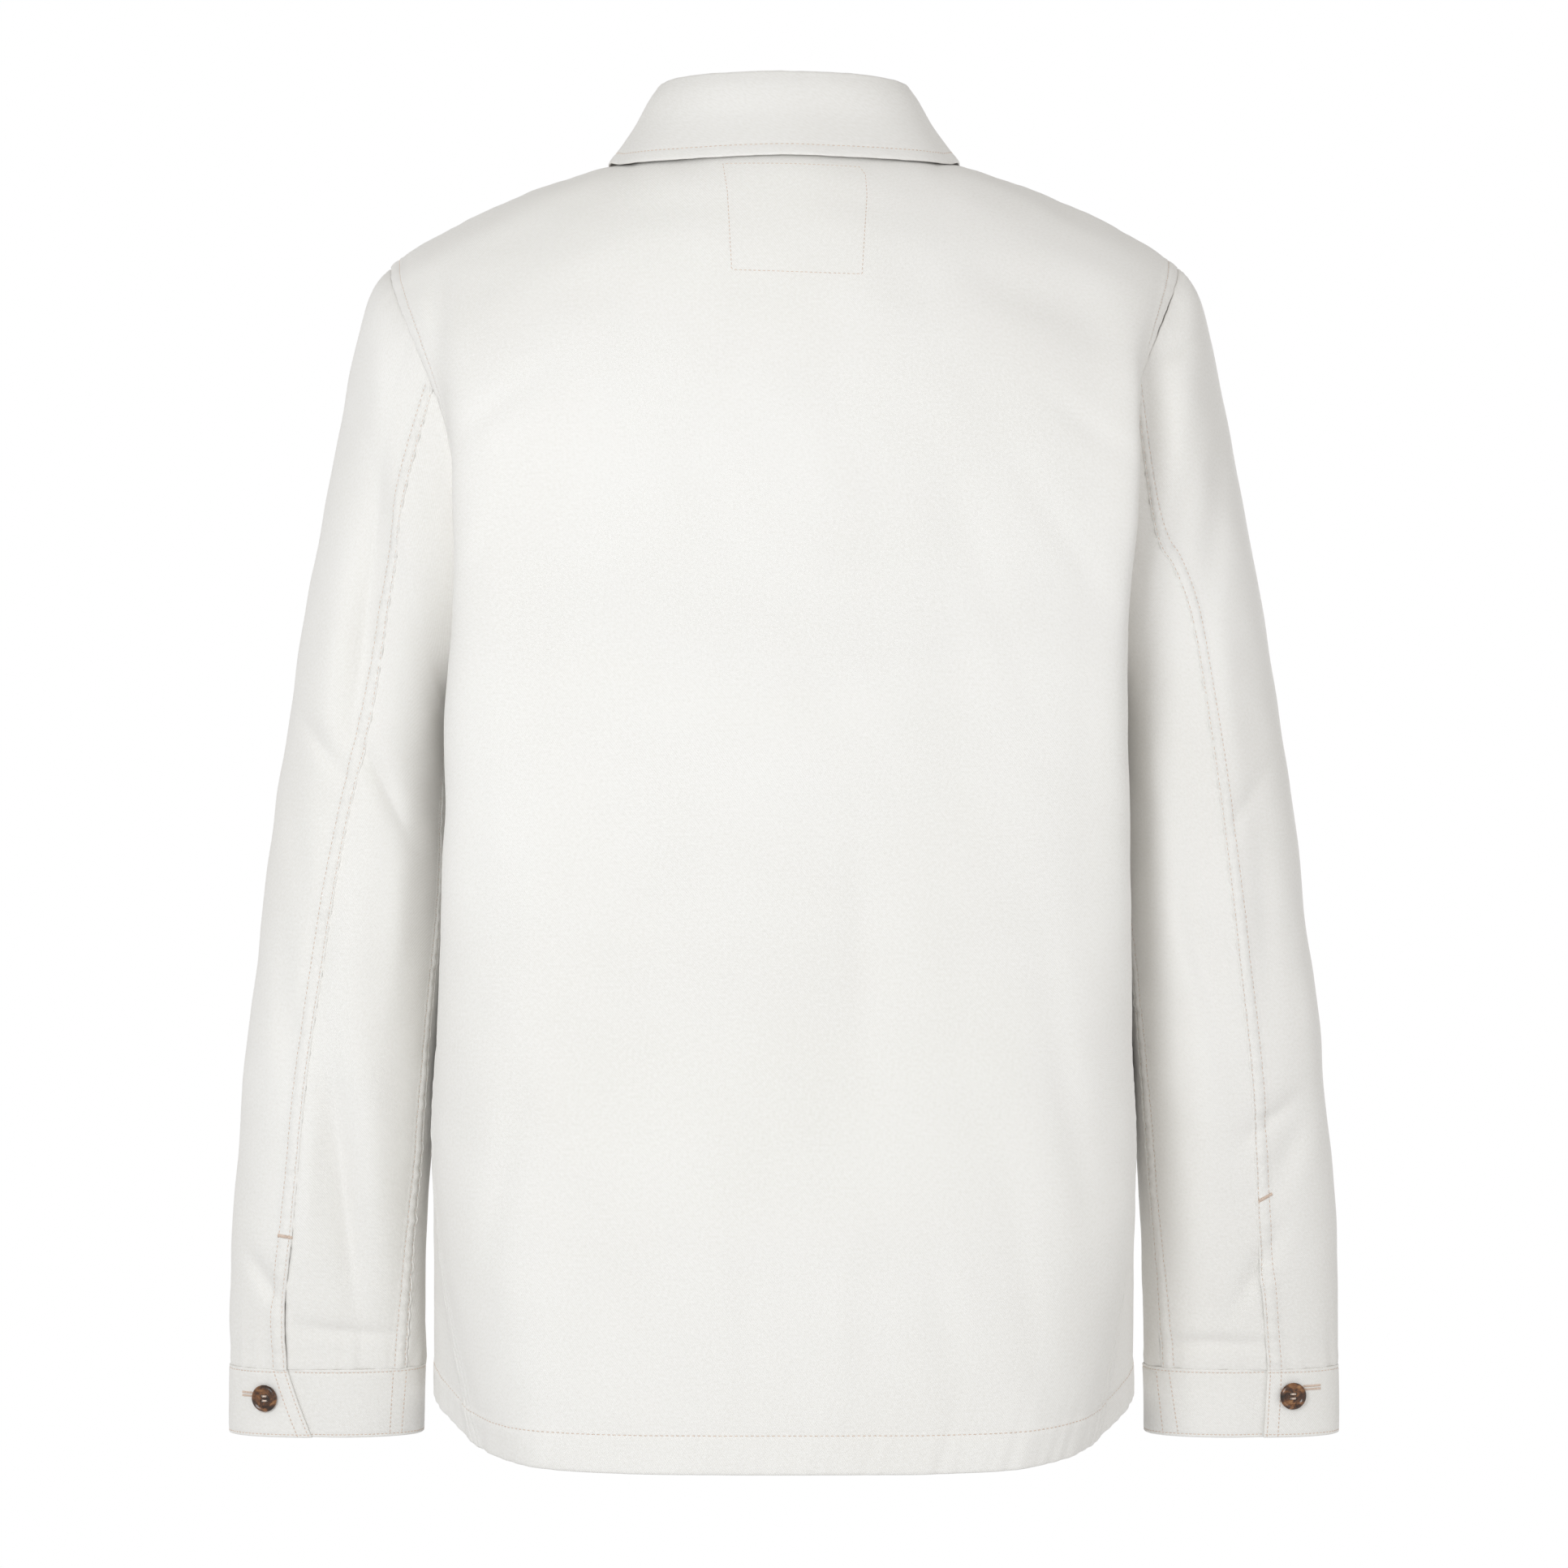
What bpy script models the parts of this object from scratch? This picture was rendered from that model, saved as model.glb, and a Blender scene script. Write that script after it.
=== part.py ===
"""Field jacket in cotton twill, filled out as worn, with the sleeves hanging.

The jacket faces -Y and +X is the wearer's left. The origin is the middle of the neck, level with the
neck seam at the centre back. Tables and sizes are in millimetres; the meshes are in metres.

Each cloth piece is a grid of points on the garment's surface with a wall built round it. Pieces that
meet at a seam share the seam's points and the direction of its thickness, and each stops short of it.
"""

import bmesh
import bpy
import numpy as np
from mathutils import Vector

MM = 0.001
CLOTH = 1.2             # wall of one piece of cloth
SEAM_GAP = 0.3          # between the pieces at a seam
BORDER_ORDER = (0.37, 0.21, 1.0)     # weights of x, y, z that order a seam's points, for both its pieces
MITRE_LIMIT = 3.0       # most that a wall is drawn out where two pieces meet at a sharp angle

# Turned edges and seams that stand proud of the cloth
HEM_BAND = 22.5
HEM_ROWS = 3            # rows of the grid that lie in the hem band
HEM_RISE = 0.6
FELL_RISE = 0.6
FELL_SHARE = 0.36       # width of the sleeve's felled seam, as a share of one column
STEP_SHARE = 0.07
STEP = 1.2              # run of the slope at the edge of the hem band
BAND_RISE = 0.4
FRONT_LAP = 15.0        # each front passes the centre by this much
LAP_COLUMNS = 3         # columns of a front that lie in the lap
LAP_LIFT = 0.85         # half the distance between the middles of the two fronts where they lap

# Grid of each piece
ROWS_TO_PIT = 10        # rows between the hem band and the underarm
ROWS_ARMHOLE = 10       # rows from the underarm to the shoulder
SPANS = (3, 3, 4, 3, 2)  # columns between the lines drawn on a panel, from the centre out
UNDER_SPANS = 6         # columns of the armhole, from the underarm up the back, in the under sleeve
NECK_SPANS = SPANS[0] + SPANS[1]
SLEEVE_HEAD_ROWS = (0, 9, 21, 38)    # distances down from the armhole
SLEEVE_ROWS = 20

# Lines drawn down the torso from the hem to the neck or shoulder, as x, y, z.
# Rows: hem, low, hip, waist, underarm, four up the armhole, yoke, ridge, top.
BACK_CENTRE = [(0, 128, -711), (0, 121, -600), (0, 114, -480), (0, 111, -380), (0, 114, -292),
               (0, 117, -240), (0, 118, -190), (0, 114, -132), (0, 105, -86), (0, 91, -42), (0, 76, -14),
               (0, 60, 0)]
BACK_NAPE = [(42, 127, -711), (45, 120, -600), (46, 113.5, -480), (47, 110.5, -380), (48, 113.5, -292),
             (48, 116.5, -240), (48, 117.5, -190), (47, 113.5, -132), (46, 104, -86), (46, 88, -42),
             (46, 68, -14.5), (46, 48, -1.2)]
BACK_NECK = [(80, 124, -711), (90, 117, -600), (92, 111, -480), (94, 108, -380), (95, 111, -292),
             (96, 114, -240), (96, 115, -190), (94, 110, -133), (91, 98, -87), (88, 76, -42),
             (84, 44, -13), (79, 5, -3)]
BACK_BLADE = [(127, 112, -710), (152, 101, -598), (156, 97, -480), (157, 97, -380), (157, 103, -292),
              (157, 107, -240), (158, 108, -190), (160, 101, -137), (160, 85, -98), (157, 59, -60),
              (153, 31, -36), (150, 0, -23)]
# The back rolls forward here, less far out on the wearer's left than on the right.
BACK_FOLD_LEFT = [(150, 90, -708), (179, 74, -594), (184, 70, -480), (181, 78, -380), (178, 88, -294),
                  (177, 93, -246), (178, 96, -196), (180, 93, -143), (187, 77, -105), (196, 50, -77),
                  (200, 24, -59), (203, -3, -48.5)]
BACK_FOLD_RIGHT = [(154, 88, -707), (182, 73, -594), (185, 70, -480), (184, 80, -380), (181, 92, -294),
                   (183, 97, -246), (188, 99, -196), (189, 93, -144), (189, 79, -104), (198, 50, -78),
                   (201, 24, -60), (203, -3, -48.5)]
BACK_EDGE = [(166, 65, -704), (188, 46, -590), (188, 34, -480), (175, 20, -380), (169, 8, -292),
             (166, 36, -268), (170, 61, -217), (182, 72, -152), (199, 61, -110), (210, 39, -85),
             (216, 16, -69), (218, -5, -61)]

FRONT_CENTRE = [(0, -138, -706), (0, -132, -600), (0, -126, -480), (0, -124, -380), (0, -128, -292),
                (0, -130, -262), (0, -129, -222), (0, -122, -182), (0, -108, -144), (0, -90, -110),
                (0, -75, -88), (0, -63, -74)]
FRONT_THROAT = [(44, -137, -706), (45, -131, -600), (46, -125, -480), (47, -123, -380), (47, -127, -292),
                (47, -129, -260), (47, -128, -216), (47, -120, -170), (48, -105, -128), (50, -84, -90),
                (49, -66, -69), (45, -53, -57)]
FRONT_NECK = [(88, -133, -705), (90, -127, -600), (92, -121, -480), (94, -118, -380), (95, -122, -292),
              (95, -124, -255), (94, -122, -205), (94, -113, -152), (96, -95, -99), (97, -66, -53),
              (94, -31, -22), (79, 5, -3)]
FRONT_CHEST = [(148, -114, -700), (150, -108, -597), (150, -104, -480), (150, -102, -380),
               (153, -106, -292), (155, -109, -258), (157, -109, -212), (160, -101, -158),
               (160, -84, -112), (157, -56, -68), (153, -28, -39), (150, 0, -23)]
FRONT_FOLD = [(196.5, 0, -686), (196, -14, -590), (190, -30, -480), (176, -46, -380), (168, -68, -297),
              (169, -85, -264), (175, -93, -216), (184, -90, -163), (193, -72, -119), (200, -46, -87),
              (203, -22, -64), (203, -4, -48.5)]
FRONT_EDGE = BACK_EDGE[:5] + [(170, -38, -271), (176, -70, -224), (185, -77, -168), (199, -63, -117),
                              (210, -40, -87), (216, -20, -70), (218, -5, -61)]

# The shoulder's top line out from the neck, as x, z, and the neck seam from centre back to centre front.
SHOULDER = [(79, -3), (98, -6), (120, -12.4), (138, -18), (156, -25.5), (174, -33.5), (192, -43),
            (205, -50), (218, -61)]
SHOULDER_Y = (5, -5)
NECK_BACK = [(0, 60, 0), (24, 57.5, -0.4), (46, 48, -1.2), (64, 32.5, -2), (79, 5, -3)]
NECK_FRONT = [(79, 5, -3), (77, -17, -16), (66, -38, -37), (45, -53, -57), (20, -61, -70.5), (0, -63, -74)]
THROAT_RUN = 0.64       # of the front neck seam lies between the shoulder and the throat line

# Rings down the sleeve: outer x, z, inner x, z, middle y, half depth, back seam's angle left and right,
# underarm seam's angle. Angles run from the outer side (0) through the back (90) to the inner side (180).
SLEEVE_COLUMNS = ("outer_x", "outer_z", "inner_x", "inner_z", "middle_y", "depth",
                  "seam_left", "seam_right", "under")
SLEEVE = [
    (229.5, -79, 184, -300, -6, 73, 101, 101, 178),
    (239, -117, 187, -314, -7, 69, 98, 96, 176),
    (250.5, -176, 188, -333, -8, 65, 93, 90, 173),
    (266, -258, 188, -359, -8, 62, 87, 86, 169),
    (280, -350, 188, -396, -9, 59, 82, 84, 165),
    (291, -436, 191, -450, -11, 54, 78, 84, 162),
    (300, -511, 195, -511, -13, 49, 74, 84, 159),
    (307, -590, 199.5, -590, -18, 41, 71, 85, 154),
    (309, -645, 201.5, -645, -21, 33, 71, 82, 149),
    (308.8, -670.5, 202, -670.5, -22, 29.5, 72, 80, 146),
]
SQUARENESS = 2.3

# Largest folds: face, middle x and z, tilt from upright in degrees, half length, half width and
# height outwards.
TORSO_FOLDS = [
    ("back", 118, -280, 4, 130, 22, -2.0), ("back", -40, -430, -3, 120, 24, -2.0),
    ("back", -90, -300, -4, 110, 20, -1.8), ("back", 148, -62, -60, 45, 18, -3.5),
    ("back", -155, -92, 67, 50, 18, -4.0), ("back", 40, -600, 8, 90, 26, 2.0),
    ("front", 105, -420, 5, 120, 22, -2.5), ("front", -98, -390, -6, 130, 22, -2.5),
    ("front", 130, -150, 38, 70, 20, -3.0), ("front", -128, -155, -35, 70, 20, -3.0),
]
SLEEVE_FOLDS = [
    ("back", 226, -238, -6, 90, 16, -3.5), ("back", 250, -296, -10, 70, 16, 3.0),
    ("back", 258, -350, 20, 45, 18, -3.0), ("back", 243, -570, 5, 70, 13, -4.0),
    ("back", 225, -555, 5, 75, 14, 3.0), ("back", -204, -370, 11, 65, 13, 3.0),
    ("back", -221, -362, 8, 90, 15, -3.5), ("back", -223, -160, 13, 60, 16, 3.0),
    ("back", -228, -520, 3, 100, 18, 3.0), ("back", -208, -540, 5, 90, 13, -3.0),
    ("front", 235, -330, 15, 60, 16, -1.6), ("front", 255, -400, -25, 50, 15, -1.6),
    ("front", 240, -540, -6, 80, 15, 3.5), ("front", -238, -345, -18, 60, 16, -3.5),
    ("front", -250, -420, 22, 50, 15, -3.5), ("front", -245, -550, 8, 80, 15, 3.5),
]
TORSO_TURN = 60         # the folds of the torso fade out over this depth to either side of y = 0
SLEEVE_TURN = 26        # the same for the sleeves, about the line below
SLEEVE_MIDDLE_Z, SLEEVE_MIDDLE_Y = (-670, -100), (-22, -6)

# The cuff: each ring's z, outer x, inner x, middle y and half depth. Its end laps over at the vent.
CUFF_RINGS = [(-670.9, 308.9, 202.0, -22, 29.5), (-690.0, 309.2, 202.3, -22, 28),
              (-709.0, 309.0, 202.5, -22, 27)]
CUFF_EDGE = {"left": (72, 75), "right": (80, 81)}   # angle of the lapping end at its top and bottom
CUFF_WALL = 1.8
CUFF_SPANS = 26
CUFF_ROWS = 3
CUFF_LAP = 30.0         # degrees that the other end runs on beneath
CUFF_RAMP = 16.0        # degrees over which it comes up to the same level
CUFF_CLEAR = 0.4        # between the two ends where they lap

# Collar from centre back to centre front: the fold and the leaf's lower edge, as x, y, z.
COLLAR_STATIONS = (0.0, 0.25, 0.4, 0.5, 0.62, 0.75, 1.0)
FOLD_LINE = [(0, 50, 40.5), (49, 37, 39.8), (64, 19.5, 38.8), (68, 2, 36.5), (62, -26, 12), (41, -49, -19),
             (4, -67, -42)]
LEAF_EDGE = [(0, 78, -7.5), (70, 57, -6.8), (91, 29.5, -5), (96.8, 4, -3.4), (92, -34, -19), (79, -68, -47),
             (42, -101, -105)]
STAND_LIFT = 0.9        # the stand's lower edge above the middle of the cloth at the neck seam
STAND_LIFT_FRONT = 2.2
STAND_LIFT_RUN = (0.3, 0.25)    # where the lift starts to grow, and over what run, as shares of one half
COLLAR_WALL = 1.6
FOLD_DROP = 5.0         # from the fold down to the seam between stand and leaf
FOLD_REACH = 3.2        # half the width of the fold
FOLD_ROWS = 4           # rows of the leaf that go over the fold
SEAM_REACH = 0.8        # the seam lies this share of the reach inside the fold
WAIST = 1.5             # how far the leaf draws in between the fold and its edge
STAND_ROWS = 2
LEAF_ROWS = 8

BUTTON_SIDES = 18
CUFF_BUTTON = 15.0
FRONT_BUTTON = 18.0
BUTTON_HEIGHT = 2.6
BUTTON_PROFILE = ((0, 0), (0.84, 0), (1, 0.3), (1, 0.75), (0.92, 1), (0.74, 1), (0.6, 0.66), (0, 0.66))
BUTTON_GAP = 0.85       # the thread shank holds it this far off the cloth
CUFF_BUTTON_ANGLE = {"left": 57, "right": 62}
CUFF_BUTTON_Z = {"left": -687.0, "right": -685.5}
FRONT_BUTTON_Z = (-112, -226, -340, -454, -568)

COLOURS = {"twill": (0.86, 0.84, 0.79, 1), "button": (0.16, 0.07, 0.025, 1)}
ROUGHNESS = {"twill": 0.9, "button": 0.25}


def unit(vectors):
    """Vectors of length one along the last axis."""
    return vectors / np.maximum(np.linalg.norm(vectors, axis=-1, keepdims=True), 1e-9)


def through(knots, values, at):
    """Smooth curve through values (first axis) at knots, read at the given places."""
    knots, values, at = (np.asarray(a, float) for a in (knots, values, at))
    step = np.diff(knots)
    spread = (-1,) + (1,) * (values.ndim - 1)
    slope = np.diff(values, axis=0) / step.reshape(spread)
    ahead, behind = step[1:].reshape(spread), step[:-1].reshape(spread)
    inner = (slope[:-1] * ahead + slope[1:] * behind) / (ahead + behind)
    first, last = 1.5 * slope[0] - 0.5 * inner[0], 1.5 * slope[-1] - 0.5 * inner[-1]
    tangent = np.concatenate([[first], inner, [last]])
    i = np.clip(np.searchsorted(knots, at, side="right") - 1, 0, len(knots) - 2)
    spread = at.shape + (1,) * (values.ndim - 1)
    u, h = ((at - knots[i]) / step[i]).reshape(spread), step[i].reshape(spread)
    return ((2 * u**3 - 3 * u**2 + 1) * values[i] + (u**3 - 2 * u**2 + u) * h * tangent[i]
            + (3 * u**2 - 2 * u**3) * values[i + 1] + (u**3 - u**2) * h * tangent[i + 1])


def chord(points, power=1.0):
    """Distance run along a polyline up to each point."""
    steps = np.linalg.norm(np.diff(np.asarray(points, float), axis=0), axis=-1) ** power
    return np.concatenate([[0.0], np.cumsum(steps)])


def along(points, at):
    """Smooth curve through points, read at fractions of its length."""
    run = chord(points)
    return through(run / run[-1], points, at)


def smooth_step(value):
    """Zero below 0, one above 1, and an even slope at both."""
    value = np.clip(value, 0.0, 1.0)
    return value * value * (3 - 2 * value)


def mirrored(points, side):
    """Points of the wearer's left half, or their mirror image on the right."""
    return np.asarray(points, float) * ((1, 1, 1) if side == "left" else (-1, 1, 1))


def shoulder_line(share):
    """Points on the shoulder seam, from the neck (0) to the sleeve (1)."""
    table = np.array(SHOULDER, float)
    x = table[0, 0] + (table[-1, 0] - table[0, 0]) * share
    y = SHOULDER_Y[0] + (SHOULDER_Y[1] - SHOULDER_Y[0]) * share
    return np.stack([x, y, through(table[:, 0], table[:, 1], x)], axis=-1)


# ---------------------------------------------------------------- torso

def level_shares(lines):
    """Where each level of the tables lies between hem and top, from 0 to 1."""
    runs = [chord(line) / chord(line)[-1] for line in lines]
    return np.mean(runs, axis=0)


def row_shares(levels):
    """Rows of a torso panel: a step at the hem band's edge, then even to the underarm and shoulder."""
    length = chord(BACK_EDGE)[-1]
    band = HEM_BAND / length
    pit = levels[4]
    lower = np.linspace(band + STEP / length, pit, ROWS_TO_PIT + 1)
    upper = np.linspace(pit, 1.0, ROWS_ARMHOLE + 1)[1:]
    return np.concatenate([[0.0, band * 0.5, band], lower, upper])


def columns():
    """Places across half a panel in the units of its lines: 0 at the centre and 5 at the edge."""
    places = [line + k / count for line, count in enumerate(SPANS) for k in range(1, count + 1)]
    return np.array([0.0] + places)


def torso_grid(centre, lines, folds, edge, neck_seam):
    """Grid over a whole front or back, from the wearer's right edge to the left one, hem to top."""
    halves = {side: lines + [folds[side], edge] for side in ("right", "left")}
    levels = level_shares([centre, edge])
    rows = row_shares(levels)
    drawn = [through(levels, mirrored(line, "right"), rows) for line in halves["right"][::-1]]
    drawn += [through(levels, np.array(centre, float), rows)]
    drawn += [through(levels, mirrored(line, "left"), rows) for line in halves["left"]]
    drawn = np.array(drawn)
    half = columns()
    middle = len(SPANS)
    places = np.concatenate([middle - half[::-1], middle + half[1:]])
    grid = np.empty((len(rows), len(places), 3))
    for r in range(len(rows)):
        knots = chord(drawn[:, r], 0.5)
        at = np.interp(places, np.arange(len(knots)), knots)
        grid[r] = through(knots, drawn[:, r], at)
    # The top row follows the neck seam and the shoulder line.
    share = np.abs(places - middle) / 2
    run = np.interp(share, (0, 0.5, 1), (1, THROAT_RUN, 0)) if neck_seam is NECK_FRONT else share
    out = (np.abs(grid[-1, :, 0]) - SHOULDER[0][0]) / (SHOULDER[-1][0] - SHOULDER[0][0])
    neck, shoulder = along(neck_seam, np.clip(run, 0, 1)), shoulder_line(np.clip(out, 0, 1))
    top = np.where((share <= 1)[:, None], neck, shoulder)
    top[:, 0] *= np.where(places < middle, -1, 1)
    grid[-1] = top
    return creased(grid, TORSO_FOLDS, 0.0, TORSO_TURN), rows


def creased(grid, folds, middle_y, turn):
    """Grid with the folds of its front and its back pressed in or raised along Y."""
    moved = grid.copy()
    for face, x, z, tilt, length, width, height in folds:
        lean = np.radians(tilt)
        way = 1 if face == "back" else -1
        dx, dz = grid[..., 0] - x, grid[..., 2] - z
        up = dx * np.sin(lean) + dz * np.cos(lean)
        over = dx * np.cos(lean) - dz * np.sin(lean)
        shown = smooth_step(way * (grid[..., 1] - middle_y) / turn)
        moved[..., 1] += way * height * shown * np.exp(-(up / length) ** 2 - (over / width) ** 2)
    return moved


# ---------------------------------------------------------------- sleeve

def ring_points(outer, inner, middle_y, depth, degrees):
    """Points round a flattened ring between an outer and an inner point, as x, y, z."""
    angle = np.radians(degrees)
    power = 2 / SQUARENESS
    across = np.sign(np.cos(angle)) * np.abs(np.cos(angle)) ** power
    back = np.sign(np.sin(angle)) * np.abs(np.sin(angle)) ** power
    outer, inner = np.array(outer, float), np.array(inner, float)
    centre, reach = (outer + inner) / 2, (outer - inner) / 2
    x, z = (centre[k] + reach[k] * across for k in (0, 1))
    return np.stack([x, middle_y + depth * back, z], axis=-1)


def sleeve_turn(row, share, side, seam_share):
    """Angle round a ring for a share of the armhole, counted from the underarm round the back."""
    seam, under = row["seam_" + side], row["under"]
    behind = under + (seam - under) * share / seam_share
    ahead = seam - (360 - under + seam) * (share - seam_share) / (1 - seam_share)
    return np.where(share <= seam_share, behind, ahead)


def sleeve_grid(armhole, shares, side, seam_share):
    """Grid down a sleeve, from the armhole's own points to the cuff seam."""
    table = [dict(zip(SLEEVE_COLUMNS, row)) for row in SLEEVE]
    around = np.linspace(0, 1, len(armhole))
    rings = [np.stack([np.interp(shares, around, armhole[:, k]) for k in range(3)], axis=-1)]
    for row in table:
        ring = ring_points((row["outer_x"], row["outer_z"]), (row["inner_x"], row["inner_z"]),
                           row["middle_y"], row["depth"], sleeve_turn(row, shares, side, seam_share))
        rings.append(mirrored(ring, side))
    rings = np.array(rings)
    run = np.mean([chord(rings[:, c]) for c in range(len(shares))], axis=0)
    even = np.linspace(SLEEVE_HEAD_ROWS[-1], run[-1], SLEEVE_ROWS)
    places = np.concatenate([SLEEVE_HEAD_ROWS, even[1:]])
    grid = through(run, rings, places)
    middle = np.interp(grid[1:, :, 2], SLEEVE_MIDDLE_Z, SLEEVE_MIDDLE_Y)
    grid[1:] = creased(grid[1:], SLEEVE_FOLDS, middle, SLEEVE_TURN)
    return grid


# ---------------------------------------------------------------- walls

class Piece:
    """A piece of cloth: its surface, how proud its outside stands, and which way is out."""

    def __init__(self, name, grid, outward, rise=0.0, wall=CLOTH, sewn=("top", "bottom", "start", "end")):
        self.name, self.grid, self.wall, self.sewn = name, np.array(grid, float), wall, sewn
        self.rise = np.broadcast_to(np.asarray(rise, float), self.grid.shape[:2])
        across, up = np.gradient(self.grid, axis=1), np.gradient(self.grid, axis=0)
        self.normal = unit(np.cross(across, up)) * outward
        self.thick = self.normal.copy()

    def border(self):
        """Indices of the grid's border points."""
        rows, cols = self.grid.shape[:2]
        every = [(r, c) for r in range(rows) for c in range(cols)]
        return [(r, c) for r, c in every if r in (0, rows - 1) or c in (0, cols - 1)]


def join_seams(pieces):
    """Gives the pieces that share a border point one direction of thickness there."""
    shared = {}
    for piece in pieces:
        for r, c in piece.border():
            shared.setdefault(tuple(np.round(piece.grid[r, c], 3)), []).append((piece, r, c))
    for meeting in shared.values():
        if len(meeting) > 1:
            normals = np.array([piece.normal[r, c] for piece, r, c in meeting])
            middle = unit(normals.sum(axis=0))
            stretch = min(MITRE_LIMIT, 1 / max(np.mean(normals @ middle), 0.05))
            for piece, r, c in meeting:
                piece.thick[r, c] = middle * stretch


def trim(piece):
    """Draws a piece's sewn borders back by half the seam gap, square to the seam."""
    grid, moved = piece.grid, piece.grid.copy()
    edges = {"bottom": (0, 1, 0), "top": (-1, -2, 0), "start": (0, 1, 1), "end": (-1, -2, 1)}
    for edge in piece.sewn:
        here, next_in, axis = edges[edge]
        line, inside = np.take(grid, here, axis), np.take(grid, next_in, axis)
        thick = np.take(piece.thick, here, axis)
        inward = unit(np.cross(np.gradient(line, axis=0), thick))
        inward *= np.sign(np.sum(inward * (inside - line), axis=-1, keepdims=True))
        if axis == 0:
            moved[here] += inward * SEAM_GAP / 2
        else:
            moved[:, here] += inward * SEAM_GAP / 2
    piece.grid = moved


def closed_mesh(name, inner, outer):
    """Object whose wall lies between two grids of the same size, closed round their border.

    The two pieces at a seam split each quad of their facing borders along the same diagonal.
    """
    rows, cols = inner.shape[:2]
    count = rows * cols
    index = np.arange(count).reshape(rows, cols)
    a, b, c, d = index[:-1, :-1], index[:-1, 1:], index[1:, 1:], index[1:, :-1]
    quads = np.stack([a, b, c, d], axis=-1).reshape(-1, 4)
    points = np.concatenate([inner.reshape(-1, 3), outer.reshape(-1, 3)])
    ring = [*index[0], *index[1:, -1], *index[-1, -2::-1], *index[-2:0:-1, 0]]
    height = np.abs(points) @ BORDER_ORDER
    border = []
    for here, after in zip(ring, ring[1:] + ring[:1]):
        if height[here] > height[after]:
            border += [(here, after, after + count), (here, after + count, here + count)]
        else:
            border += [(here, after, here + count), (after, after + count, here + count)]
    triangles = np.concatenate([quads[:, (0, 1, 2)] + count, quads[:, (0, 2, 3)] + count,
                                quads[:, (2, 1, 0)], quads[:, (3, 2, 0)], np.array(border)])
    points = points * MM
    mesh = bpy.data.meshes.new(name)
    mesh.from_pydata(points.tolist(), [], triangles.tolist())
    mesh.validate()
    if volume(mesh) < 0:
        mesh.flip_normals()
    return place(name, mesh)


def volume(mesh):
    """Signed volume of a triangle mesh."""
    points = np.array([v.co for v in mesh.vertices])
    tris = np.array([p.vertices[:] for p in mesh.polygons])
    a, b, c = points[tris[:, 0]], points[tris[:, 1]], points[tris[:, 2]]
    return float(np.sum(a * np.cross(b, c)) / 6)


def place(name, mesh, finish="twill", sharp_degrees=50):
    """Object with its own material, shaded smooth but for its sharp edges."""
    part = bpy.data.objects.new(name, mesh)
    bpy.context.scene.collection.objects.link(part)
    material = bpy.data.materials.new(name)
    material.use_nodes = True
    shader = material.node_tree.nodes["Principled BSDF"]
    shader.inputs["Base Color"].default_value = COLOURS[finish]
    shader.inputs["Roughness"].default_value = ROUGHNESS[finish]
    material.diffuse_color = COLOURS[finish]
    mesh.materials.append(material)
    mesh.shade_smooth()
    mesh.set_sharp_from_angle(angle=np.radians(sharp_degrees))
    return part


def build_wall(piece):
    """Wall of a piece, plain inside and raised outside."""
    half = piece.wall / 2
    inner = piece.grid - piece.thick * half
    outer = piece.grid + piece.thick * (half + piece.rise[..., None])
    return closed_mesh(piece.name, inner, outer)


# ---------------------------------------------------------------- pieces

def torso_pieces():
    """The back and the two fronts."""
    back, rows = torso_grid(BACK_CENTRE, [BACK_NAPE, BACK_NECK, BACK_BLADE],
                            {"left": BACK_FOLD_LEFT, "right": BACK_FOLD_RIGHT}, BACK_EDGE, NECK_BACK)
    front, _ = torso_grid(FRONT_CENTRE, [FRONT_THROAT, FRONT_NECK, FRONT_CHEST],
                          {"left": FRONT_FOLD, "right": FRONT_FOLD}, FRONT_EDGE, NECK_FRONT)
    # Both share the side seams and the shoulder points exactly.
    pit = len(rows) - 1 - ROWS_ARMHOLE
    for column in (0, -1):
        front[:pit + 1, column] = back[:pit + 1, column]
        front[-1, column] = back[-1, column]
    half = len(front[0]) // 2
    front[-1, half + NECK_SPANS:] = back[-1, half + NECK_SPANS:]
    front[-1, :half - NECK_SPANS + 1] = back[-1, :half - NECK_SPANS + 1]
    hem = np.where(np.arange(len(rows)) < HEM_ROWS, HEM_RISE, 0.0)[:, None]
    pieces = [Piece("back", back, -1, hem, sewn=("top", "start", "end"))]
    for side, way in (("left", 1), ("right", -1)):
        grid = front[:, half:] if side == "left" else front[:, half::-1]
        centre, beside = grid[:, 0], grid[:, 1]
        past = centre + (beside - centre) * (FRONT_LAP / np.abs(beside[:, :1]))
        past[:, 0] *= -1
        lapped = np.concatenate([past[:, None], grid], axis=1)
        normal = unit(np.cross(np.gradient(lapped, axis=1), np.gradient(lapped, axis=0))) * way
        lift = np.zeros(lapped.shape[1])
        lift[:LAP_COLUMNS] = LAP_LIFT * way
        lapped = lapped + normal * lift[None, :, None]
        rise = np.broadcast_to(hem, lapped.shape[:2]).copy()
        rise[:, :LAP_COLUMNS] = hem + BAND_RISE if side == "left" else 0.0
        pieces.append(Piece("front_" + side, lapped, way, rise, sewn=("top", "end")))
    return pieces, back, front, pit


def armhole_points(back, front, pit, side):
    """The armhole from the underarm up the back to the shoulder and down the front."""
    column = -1 if side == "left" else 0
    return np.concatenate([back[pit:, column], front[-2:pit - 1:-1, column]])


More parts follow.
